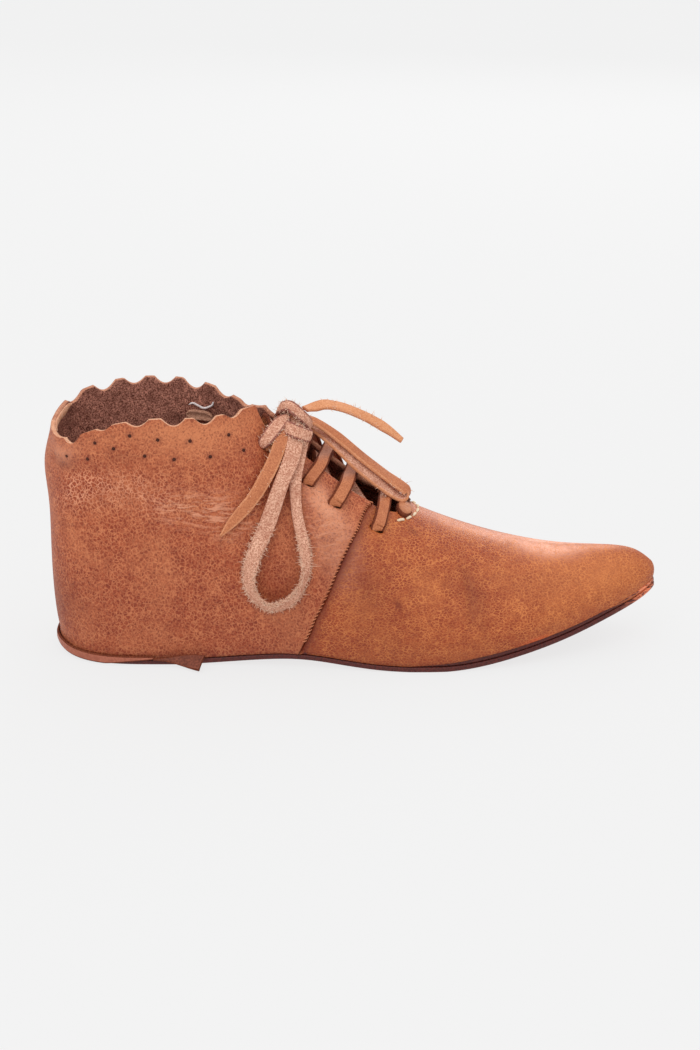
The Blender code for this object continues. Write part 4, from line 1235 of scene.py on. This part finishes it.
def crossing(one, two, over):
    """The lace between two slots: past the throat's near and far edges, over the wall or under it."""
    low, high = (one, two) if one[1] < two[1] else (two, one)
    places, faces = [], []
    for side in (NEAR, FAR) if one[1] < 0 else (FAR, NEAR):
        across = side * THROAT_HALF[side] + BAR_LEAN * over * (side == NEAR)
        along = np.interp(across, [low[1], high[1]], [low[0], high[0]])
        s, v = seat(along, THROAT_HALF[side], side)
        out = wall_normal(s, v, side)[0]
        lift = BAR_LIFT if over else -WALL - LACE_LIFT
        places.append(wall_point(s, v, side)[0] + out * lift + UPWARD * BAR_STAND * over * (side == FAR))
        faces.append(out if over else -out)
    sign = 1 if over else -1
    places.insert(1, (places[0] + places[1]) / 2 + UPWARD * sign * BAR_ARCH)
    faces.insert(1, UPWARD * sign)
    return np.array(places), np.array(faces)


def stub_end(place, slot_frame, inside):
    """Where the lace ends past its last slot, deeper where that is inside the shoe."""
    out, away = slot_frame[1:]
    return place - away * STUB - out * STUB_DROP * inside


def build_lace_bars(name, slots, seed):
    """One half of the laced thong, in and out of its slots, with its grain side out."""
    middles = [SLOT_FRAMES[key][0] for key in slots]
    bridges = [crossing(middles[k], middles[k + 1], over=k % 2 == 0) for k in range(len(slots) - 1)]
    places, faces = [], []
    for number, key in enumerate(slots):
        inward = number % 2 == 1
        before = bridges[number - 1][0][-1] if number else None
        after = bridges[number][0][0] if number < len(bridges) else None
        before, after = (after if before is None else before), (before if after is None else after)
        turn = slot_turn(SLOT_FRAMES[key], inward, *((before, after) if inward else (after, before)))
        places.append(turn[0])
        faces.append(turn[1])
        if number < len(bridges):
            places.append(bridges[number][0])
            faces.append(bridges[number][1])
    first = stub_end(places[0][0], SLOT_FRAMES[slots[0]], inside=True)
    last = stub_end(places[-1][-1], SLOT_FRAMES[slots[-1]], inside=inward)
    places = smooth(np.vstack([first] + places + [last]), BAR_STEPS)
    faces = smooth(np.vstack([faces[0][0]] + faces + [faces[-1][-1]]), BAR_STEPS)
    strip = new_strip(places, faces, BAR_LOOK, BAR_THICKNESS, seed)
    # the bars' dark edges are painted shade along their sides
    strip_piece(name, strip, (LACE_GRAIN, LACE_FLESH, EDGE_AND_SHADE), (name,), BAR_CUP)


for number, (name, slots) in enumerate(STRANDS.items()):
    build_lace_bars(name, slots, seed=BAR_SEED + SEED_STEP * number)

# Loose fibres of the lace: where along it they grow, their form, and the ranges that they are drawn from
HAIRY = (0.24, 0.78)
HAIR = 0.00022
HAIR_TIP = 1.05
HAIR_STATIONS = 4
HAIR_SIDES = 3
HAIR_ACROSS = (0.45, 1.0)
HAIR_DEPTH = (-0.3, 0.5)
HAIR_RISE = (0.3, 0.5)
HAIR_LEAN = (0, 0.7)
HAIR_CURL = (0, 0.6)
HAIR_REACH = (0.0005, 0.0019)
HAIR_SEED = 5
# The bow: each free part's skins, how it ends and lies, its width along its length, and its loose fibres
FREE_STEPS = 10
BOW_CUP = 0.00015
Bow = namedtuple("Bow", "skins far_end lay widths hairs seed")
BOW = {
    "lace_loop_near": Bow(
        (LACE_FLESH, LACE_GRAIN, LACE_FLESH), "knot", "hanging",
        ((0, 1.15), (0.3, 1.12), (0.5, 0.98), (0.62, 0.88), (0.8, 0.85), (1, 0.9)), 2400, 31),
    "lace_end_near": Bow(
        (LACE_GRAIN, LACE_FLESH, LACE_EDGE), "bare", "hanging",
        ((0, 1.0), (0.72, 0.98), (0.88, 0.66), (1, 0.22)), 60, 41),
    "lace_loop_far": Bow(
        (LACE_GRAIN, LACE_FLESH, LACE_EDGE), "knot", "loose",
        ((0, 0.8), (0.2, 0.95), (0.36, 1.25), (0.52, 1.2), (0.7, 1.25), (1, 0.9)), 60, 51),
    # brighter grain side: painted light on the end that faces up
    "lace_end_far": Bow(
        (LACE_BRIGHT, LACE_FLESH, LACE_EDGE), "bare", "loose",
        ((0, 0.8), (0.3, 1.0), (0.8, 0.92), (0.92, 0.66), (1, 0.5)), 110, 61),
}


def build_hairs(name, strip, count, seed):
    """Loose fibres along both edges of a strip, each a thin curved spike."""
    rng = np.random.default_rng(seed)
    at = (rng.uniform(*HAIRY, count) * len(strip.places)).astype(int)
    sign = rng.choice((-1.0, 1.0), count)[:, None]
    across = rng.uniform(*HAIR_ACROSS, count)[:, None]
    root = strip.places[at] + strip.beside[at] * sign * across * strip.widths[at, None] / 2
    root = root + strip.faces[at] * rng.uniform(*HAIR_DEPTH, count)[:, None] * strip.thickness[at, None]
    lean = strip.beside[at] * sign + strip.faces[at] * rng.normal(*HAIR_RISE, (count, 1))
    lean = unit(lean + strip.run[at] * rng.normal(*HAIR_LEAN, (count, 1)))
    curl = rng.normal(*HAIR_CURL, (count, 3))
    reach = rng.uniform(*HAIR_REACH, count)[:, None]
    aside = unit(np.cross(lean, rng.normal(0, 1, (count, 3))))
    third = np.cross(lean, aside)
    stations = []
    for t in np.linspace(0, 1, HAIR_STATIONS):
        middle = root + lean * reach * t + curl * reach * t * t
        for angle in turns(HAIR_SIDES):
            around = aside * np.cos(angle) + third * np.sin(angle)
            stations.append(middle + around * HAIR * (HAIR_TIP - t))
    points = np.stack(stations, 1)
    size = points.shape[1]
    starts = np.arange(count)[:, None] * size
    quads = (ring_quads(HAIR_STATIONS, HAIR_SIDES) + starts[:, None]).reshape(-1, 4)
    caps = np.vstack([starts + (0, 2, 1), starts + (size - 3, size - 2, size - 1)])
    return new_piece(name, points.reshape(-1, 3), quads.tolist() + caps.tolist(), (FUZZ,))


def fuzzy_lace(name, node, strip, skins, cup, hairs, seed):
    """A length of lace that stands for a node, and its loose fibres."""
    piece = strip_piece(name, strip, skins, (node,), cup)
    return [piece, build_hairs(name + "_fuzz", strip, hairs, seed + HAIR_SEED)]


def build_free_lace(name, bow):
    """A loop or an end of the bow, as a strip with its loose fibres."""
    rows = smooth(FREE_LACE[name], FREE_STEPS)
    places = rows[:, :3] * SCALE
    share, factor = zip(*bow.widths)
    widths = LACE_WIDTH * np.interp(np.linspace(0, 1, len(places)), share, factor)
    strip = new_strip(places, rows[:, 3:], widths, LACE_THICKNESS, bow.seed)
    piece, hairs = fuzzy_lace(name, name, strip, bow.skins, BOW_CUP, bow.hairs, bow.seed)


# Knot: a turn of the lace round its middle, and short lengths over that, in millimetres in the drawing frame
CORE_CENTRE = np.array([119.0, -6.6, 112.8])
CORE_ALONG = np.array([0.8, 0.0, 0.6])
CORE_REACH_ALONG = 5.2
CORE_REACH_DEEP = 5.6
CORE_SHIFT = 1.5
CORE_WIDTH = 8.4
CORE_STEPS = 64
CORE_TURN = np.radians((-195, 195))
CORE_HAIRS = 220
CORE_SEED = 70
TAIL_THICKNESS = 0.0020
TAIL_STEPS = 8
TAIL_HAIRS = 90
TAIL_SEED = 110
KNOT_CUP = 0.0003
# The knot's lace has dark edges: painted shade between the wraps
KNOT_SKINS = (LACE_FLESH, LACE_GRAIN, LACE_MAUVE)
CORE_SKINS = (LACE_GRAIN, LACE_FLESH, LACE_MAUVE)
Tail = namedtuple("Tail", "widths skins rows")
KNOT_TAILS = {
    "knot_band": Tail((5.0, 5.4, 5.4, 5.4, 5.2, 5.0), KNOT_SKINS, (
        Lie(111.8, -4.0, 114.3, -0.7, 0.2, 0.6),
        Lie(112.9, -9.5, 118.6, -0.6, -0.5, 0.6),
        Lie(116.8, -12.5, 120.6, 0.0, -0.75, 0.66),
        Lie(121.0, -14.0, 118.0, 0.3, -0.85, 0.4),
        Lie(125.0, -12.5, 113.5, 0.6, -0.75, 0.2),
        Lie(126.4, -8.0, 109.4, 0.8, -0.3, -0.2),
    )),
    "knot_box": Tail((6.0, 6.4, 6.6, 6.6, 6.4), KNOT_SKINS, (
        Lie(114.2, -11.0, 110.5, -0.8, -0.5, 0.2),
        Lie(115.8, -17.6, 111.8, -0.35, -0.85, 0.35),
        Lie(120.4, -21.2, 110.8, 0.0, -0.9, 0.43),
        Lie(124.8, -20.4, 109.0, 0.3, -0.9, 0.3),
        Lie(126.8, -18.6, 107.8, 0.6, -0.75, 0.2),
    )),
    "knot_to_slot": Tail((4.0, 5.8, 6.8, 6.8, 6.0, 3.6), KNOT_SKINS, (
        Lie(116.4, -13.0, 115.6, 0.1, -0.75, 0.65),
        Lie(113.8, -15.6, 114.4, 0.0, -0.75, 0.65),
        Lie(111.0, -18.6, 112.0, -0.05, -0.75, 0.65),
        Lie(108.0, -21.6, 109.2, -0.1, -0.75, 0.65),
        Lie(105.6, -23.2, 106.4, -0.2, -0.85, 0.5),
        Lie(105.0, -22.4, 104.0, -0.3, -0.9, -0.2),
    )),
    "knot_left": Tail((5.4,) * 5, CORE_SKINS, (
        Lie(118.0, -3.0, 118.8, -0.3, -0.3, 0.9),
        Lie(115.4, -4.6, 118.0, -0.6, -0.4, 0.7),
        Lie(113.4, -7.4, 116.0, -0.75, -0.55, 0.3),
        Lie(112.8, -9.4, 114.0, -0.7, -0.7, 0.0),
        Lie(113.2, -11.4, 113.0, -0.5, -0.8, -0.2),
    )),
}


def build_core():
    """The turn of the lace round the knot's middle, with its two ends hidden behind it."""
    along = unit(CORE_ALONG)
    forward = np.array([0.0, -1.0, 0.0])
    forward = unit(forward - along * (along @ forward))
    axis = np.cross(along, forward)
    turn = np.linspace(*CORE_TURN, CORE_STEPS)
    places = CORE_CENTRE + np.outer(np.sin(turn) * CORE_REACH_ALONG, along)
    places += np.outer(np.cos(turn) * CORE_REACH_DEEP, forward)
    places += np.outer(turn / np.pi * CORE_SHIFT, axis)
    faces = np.outer(np.sin(turn) / CORE_REACH_ALONG, along)
    faces += np.outer(np.cos(turn) / CORE_REACH_DEEP, forward)
    strip = new_strip(places * SCALE, faces, CORE_WIDTH * MM, LACE_THICKNESS, CORE_SEED)
    return fuzzy_lace("knot_core", "lace_knot", strip, CORE_SKINS, KNOT_CUP, CORE_HAIRS, CORE_SEED)


def build_tail(name, tail, seed):
    """A short length of the lace in the knot, with loose fibres."""
    rows = smooth(np.column_stack([tail.rows, tail.widths]), TAIL_STEPS)
    strip = new_strip(rows[:, :3] * SCALE, rows[:, 3:6], rows[:, 6] * MM, TAIL_THICKNESS, seed)
    return fuzzy_lace(name, "lace_knot", strip, tail.skins, KNOT_CUP, TAIL_HAIRS, seed)


knot = build_core()
for number, (name, tail) in enumerate(KNOT_TAILS.items()):
    knot += build_tail(name, tail, seed=TAIL_SEED + SEED_STEP * number)
for name, bow in BOW.items():
    build_free_lace(name, bow)

# Small things on the upper: pinholes, stitches, the stay under the throat's end, and what shows in the collar
PIN_RADIUS = 0.00085
PIN_SIDES = 10
PIN_TOP = 0.1
PIN_DEPTH = 0.4


def build_pinholes():
    """Small holes pricked along the collar, each a dark flat lens let into the leather: painted shade for the
    hole's inside.
    """
    points, faces = [], []
    for side, rows in PINHOLES.items():
        for s, v in rows:
            middle = panel_points(np.array([s]), np.array([v]), side)[0][0]
            out = wall_normal(s, v, side)[0]
            level = unit(np.cross(out, UPWARD))
            rise = np.cross(out, level)
            start = len(points)
            for angle in turns(PIN_SIDES):
                points.append(middle + (level * np.cos(angle) + rise * np.sin(angle)) * PIN_RADIUS)
            points += [middle + out * PIN_TOP * MM, middle - out * PIN_DEPTH * MM]
            for k in range(PIN_SIDES):
                a, b = start + k, start + (k + 1) % PIN_SIDES
                faces += [(a, b, start + PIN_SIDES), (b, a, start + PIN_SIDES + 1)]
    weld(new_piece("pinholes", points, faces, (HOLE_SHADE,)))


# Stitches in front of the throat, each from one angle to another, and their rise and dip in millimetres
STITCH_CENTRE = 0.1565
STITCH_REACH = 0.0205
STITCH_RADIUS = 0.0007
STITCH_SIDES = 8
STITCH_STEPS = 9
STITCH_TOP = 0.5
STITCH_DIP = 0.9
STITCH_CLEAR = 0.0004
STITCHES = ((60, 47), (44, 33), (29, 19), (15, 4), (-2, -13), (-18, -30), (-34, -46))
# A direction that no thread runs along
THREAD_SIDE = (0.3, 0.2, 1.0)


def build_tubes(name, lines, radius, material):
    """Round threads along lines of points, thinner at both ends."""
    points, faces = [], []
    for line in lines:
        run = unit(np.gradient(line, axis=0))
        aside = unit(np.cross(run, THREAD_SIDE))
        third = np.cross(run, aside)
        taper = radius * rounded(len(line))[:, None]
        rings = np.stack([line + (aside * np.cos(angle) + third * np.sin(angle)) * taper
                          for angle in turns(STITCH_SIDES)], 1)
        start = len(points)
        points += rings.reshape(-1, 3).tolist()
        faces += (ring_quads(len(line), STITCH_SIDES) + start).tolist()
        for end in (start, start + (len(line) - 1) * STITCH_SIDES):
            faces.append([end + k for k in range(STITCH_SIDES)])
    weld(new_piece(name, points, faces, (material,)))


def build_stitches():
    """Cream stitches in an arc in front of the throat, each rising out of the leather and back into it."""
    lines = []
    share = np.linspace(-1, 1, STITCH_STEPS)
    for start, end in STITCHES:
        line = []
        for angle, rise in zip(np.radians(np.linspace(start, end, STITCH_STEPS)), share):
            x = STITCH_CENTRE + STITCH_REACH * np.cos(angle)
            y = -STITCH_REACH * np.sin(angle)
            side = NEAR if y < 0 else FAR
            s, v = seat(x, max(abs(y), STITCH_CLEAR), side)
            lift = (STITCH_TOP - STITCH_DIP * rise ** 2) * MM
            line.append(wall_point(s, v, side)[0] + wall_normal(s, v, side)[0] * lift)
        lines.append(np.array(line))
    build_tubes("stitches", lines, STITCH_RADIUS, THREAD)


# Stitches along the side seam, in v and s, and how high they rise and dip in millimetres
SEAM_PITCH = 0.017
SEAM_WAVER = SEAM_PITCH / 8
SEAM_START = 0.05
SEAM_BITE = (-0.075, 0.02)
SEAM_RADIUS = 0.00030
SEAM_LEAN = 0.004
SEAM_RISE = 0.15
SEAM_DIP = 0.5
SEAM_SEED = 171


def build_seam():
    """Small stitches that draw the quarter's edge to the vamp along the side seam."""
    lines = []
    rng = np.random.default_rng(SEAM_SEED)
    share = np.linspace(-1, 1, STITCH_STEPS)
    for side in (NEAR, FAR):
        top = (seam_top(side) - SEAM_FOOT) / SEAM_SLOPE
        for v in np.arange(SEAM_START, top, SEAM_PITCH):
            v = v + rng.normal(0, SEAM_WAVER) + share * SEAM_LEAN
            s = SEAM_FOOT + SEAM_SLOPE * v + np.linspace(*SEAM_BITE, STITCH_STEPS)
            lift = (SEAM_RISE - SEAM_DIP * share ** 2) * MM
            lines.append(panel_points(s, v, side)[0] + wall_normal(s, v, side) * lift[:, None])
    build_tubes("seam_stitches", lines, SEAM_RADIUS, SEAM_THREAD)


# The stay under the throat's end: its place along and across the shoe, its reach and its dome
STAY_ALONG = 0.1700
STAY_ACROSS = 0.0090
STAY_REACH = (0.0034, 0.0048)
STAY_RISE = 0.0008
STAY_ROUND = 1.001
STAY_RINGS = 6
STAY_SIDES = 40


def build_stay(name, spread, lift, material):
    """A small domed round on the throat's end, let into the leather under it: the stay, or a wider dark one
    under it that stands for painted shadow.
    """
    s, v = seat(STAY_ALONG, STAY_ACROSS, NEAR)
    middle, out = wall_point(s, v, NEAR)[0], wall_normal(s, v, NEAR)[0]
    level = unit(np.array([1.0, 0.0, 0.0]) - out * out[0])
    rise = np.cross(out, level)
    angle = turns(STAY_SIDES)
    rim = np.outer(np.cos(angle), level) * STAY_REACH[0] + np.outer(np.sin(angle), rise) * STAY_REACH[1]
    shares = np.linspace(0, 1, STAY_RINGS + 1)
    heights = lift + STAY_RISE * np.sqrt(STAY_ROUND - shares ** 4)
    dome = [middle + rim * spread * share + out * height for share, height in zip(shares, heights)]
    under = [middle + rim * spread * share + out * (lift - WALL) for share in shares[::-1]]
    faces = ring_quads(len(dome) + len(under), STAY_SIDES).tolist()
    weld(new_piece(name, np.vstack(dome + under), faces, (material,)))


def inside(s, v, lift):
    """Places a little way in from the inner face of the far wall."""
    s, v = np.asarray(s, float), np.asarray(v, float)
    return wall_point(s, v, FAR) - wall_normal(s, v, FAR) * (WALL + lift)


# Inside the collar: a loose thread and a tab on the far wall, and the rolled edge round the heel
LOOSE_THREAD = ((3.42, 0.868), (3.51, 0.880), (3.63, 0.871), (3.75, 0.866), (3.92, 0.892), (3.97, 0.917))
THREAD_STEPS = 6
THREAD_LIFT = 0.0009
THREAD_RADIUS = 0.00055
TAB_S = (3.36, 3.92)
TAB_V = 0.825
TAB_COLUMNS = 24
TAB_WIDTH = 0.0054
TAB_LIFT = 0.0012
TAB_THICKNESS = 0.0022
TAB_CUP = -0.0006
TAB_SEED = 131
ROLL_FAR = 0.95
ROLL_NEAR = 0.35
ROLL_COLUMNS = {FAR: 40, NEAR: 14}
ROLL_V = 0.976
ROLL_WIDTH = 0.0036
ROLL_LIFT = 0.0005
ROLL_THICKNESS = 0.0010
ROLL_CUP = 0.0003
ROLL_SEED = 141


def build_inside():
    """What shows in the collar: a loose thread, a small folded tab, and the pale rolled edge at the heel."""
    s, v = smooth(LOOSE_THREAD, THREAD_STEPS).T
    build_tubes("loose_thread", [inside(s, v, THREAD_LIFT)], THREAD_RADIUS, WHITE_THREAD)
    s = np.linspace(*TAB_S, TAB_COLUMNS)
    v = np.full(len(s), TAB_V)
    tab = new_strip(inside(s, v, TAB_LIFT), -wall_normal(s, v, FAR), TAB_WIDTH * rounded(len(s)),
                    TAB_THICKNESS, TAB_SEED)
    strip_piece("inner_tab", tab, (TAB_SKIN, TAB_SKIN, TAB_SKIN), cup=TAB_CUP)
    places, faces = [], []
    for side, s in ((FAR, np.linspace(ROLL_FAR, 0, ROLL_COLUMNS[FAR])),
                    (NEAR, np.linspace(0, ROLL_NEAR, ROLL_COLUMNS[NEAR])[1:])):
        v = np.full(len(s), ROLL_V)
        out = wall_normal(s, v, side)
        places.append(panel_points(s, v, side)[0] - out * (WALL + ROLL_LIFT))
        faces.append(-out)
    places, faces = np.vstack(places), np.vstack(faces)
    roll = new_strip(places, faces, ROLL_WIDTH * rounded(len(places)), ROLL_THICKNESS, ROLL_SEED)
    strip_piece("heel_roll", roll, (CUT_EDGE, CUT_EDGE, CUT_EDGE), cup=ROLL_CUP)


build_pinholes()
build_stitches()
build_seam()
build_stay("throat_stay", spread=1.0, lift=0.0021, material=STAY_SKIN)
# a wider dark round under the stay that shows as a ring round it: painted shadow of the throat's edge
build_stay("stay_shadow_ring", spread=1.15, lift=0.0013, material=EDGE_AND_SHADE)
build_inside()

# Floor and light
WHITE = (1.0, 1.0, 1.0, 1.0)
FLOOR_HALF = 8.0
FLOOR_TONE = (0.10, 0.10, 0.10, 1.0)
FLOOR_GLOW = 0.768
FLOOR_CORNERS = ((-1, -1), (1, -1), (1, 1), (-1, 1))
floor_material, _, floor_shader, _ = new_material("floor", roughness=0.9, specular=0.0)
floor_shader.inputs["Base Color"].default_value = FLOOR_TONE
floor_shader.inputs["Emission Color"].default_value = WHITE
floor_shader.inputs["Emission Strength"].default_value = FLOOR_GLOW
floor_mesh = bpy.data.meshes.new("floor")
floor_mesh.from_pydata([(x * FLOOR_HALF, y * FLOOR_HALF, 0) for x, y in FLOOR_CORNERS], [], [(0, 1, 2, 3)])
floor_mesh.materials.append(floor_material)
floor = bpy.data.objects.new("floor", floor_mesh)
bpy.context.scene.collection.objects.link(floor)

# Sky: weaker from below than from above, as heights along Z and the strengths at them
SKY = {1: -0.1, 2: 1.0, 3: 0.55, 4: 1.35}
world = bpy.data.worlds.new("studio")
world.use_nodes = True
bpy.context.scene.world = world
sky = world.node_tree
background = sky.nodes["Background"]
direction = add(sky, "ShaderNodeTexCoord").outputs["Generated"]
sky_height = add(sky, "ShaderNodeSeparateXYZ", Vector=direction).outputs["Z"]
strength = add(sky, "ShaderNodeMapRange", None, SKY, Value=sky_height).outputs[0]
sky.links.new(strength, background.inputs["Strength"])
background.inputs["Color"].default_value = WHITE
LIGHT_TARGET = (0.0, 0.0, 0.05)


def area_light(name, place, size, power):
    """A soft square light at a place, turned to the shoe."""
    light = bpy.data.lights.new(name, "AREA")
    light.size = size
    light.energy = power
    lamp = bpy.data.objects.new(name, light)
    lamp.location = place
    lamp.rotation_mode = "QUATERNION"
    lamp.rotation_quaternion = (Vector(LIGHT_TARGET) - Vector(place)).to_track_quat("-Z", "Y")
    bpy.context.scene.collection.objects.link(lamp)


area_light("key", (-0.5, -1.6, 1.7), size=1.2, power=9.0)
area_light("back", (0.3, 1.5, 0.75), size=0.9, power=5.0)
bpy.context.scene.view_settings.view_transform = "Standard"
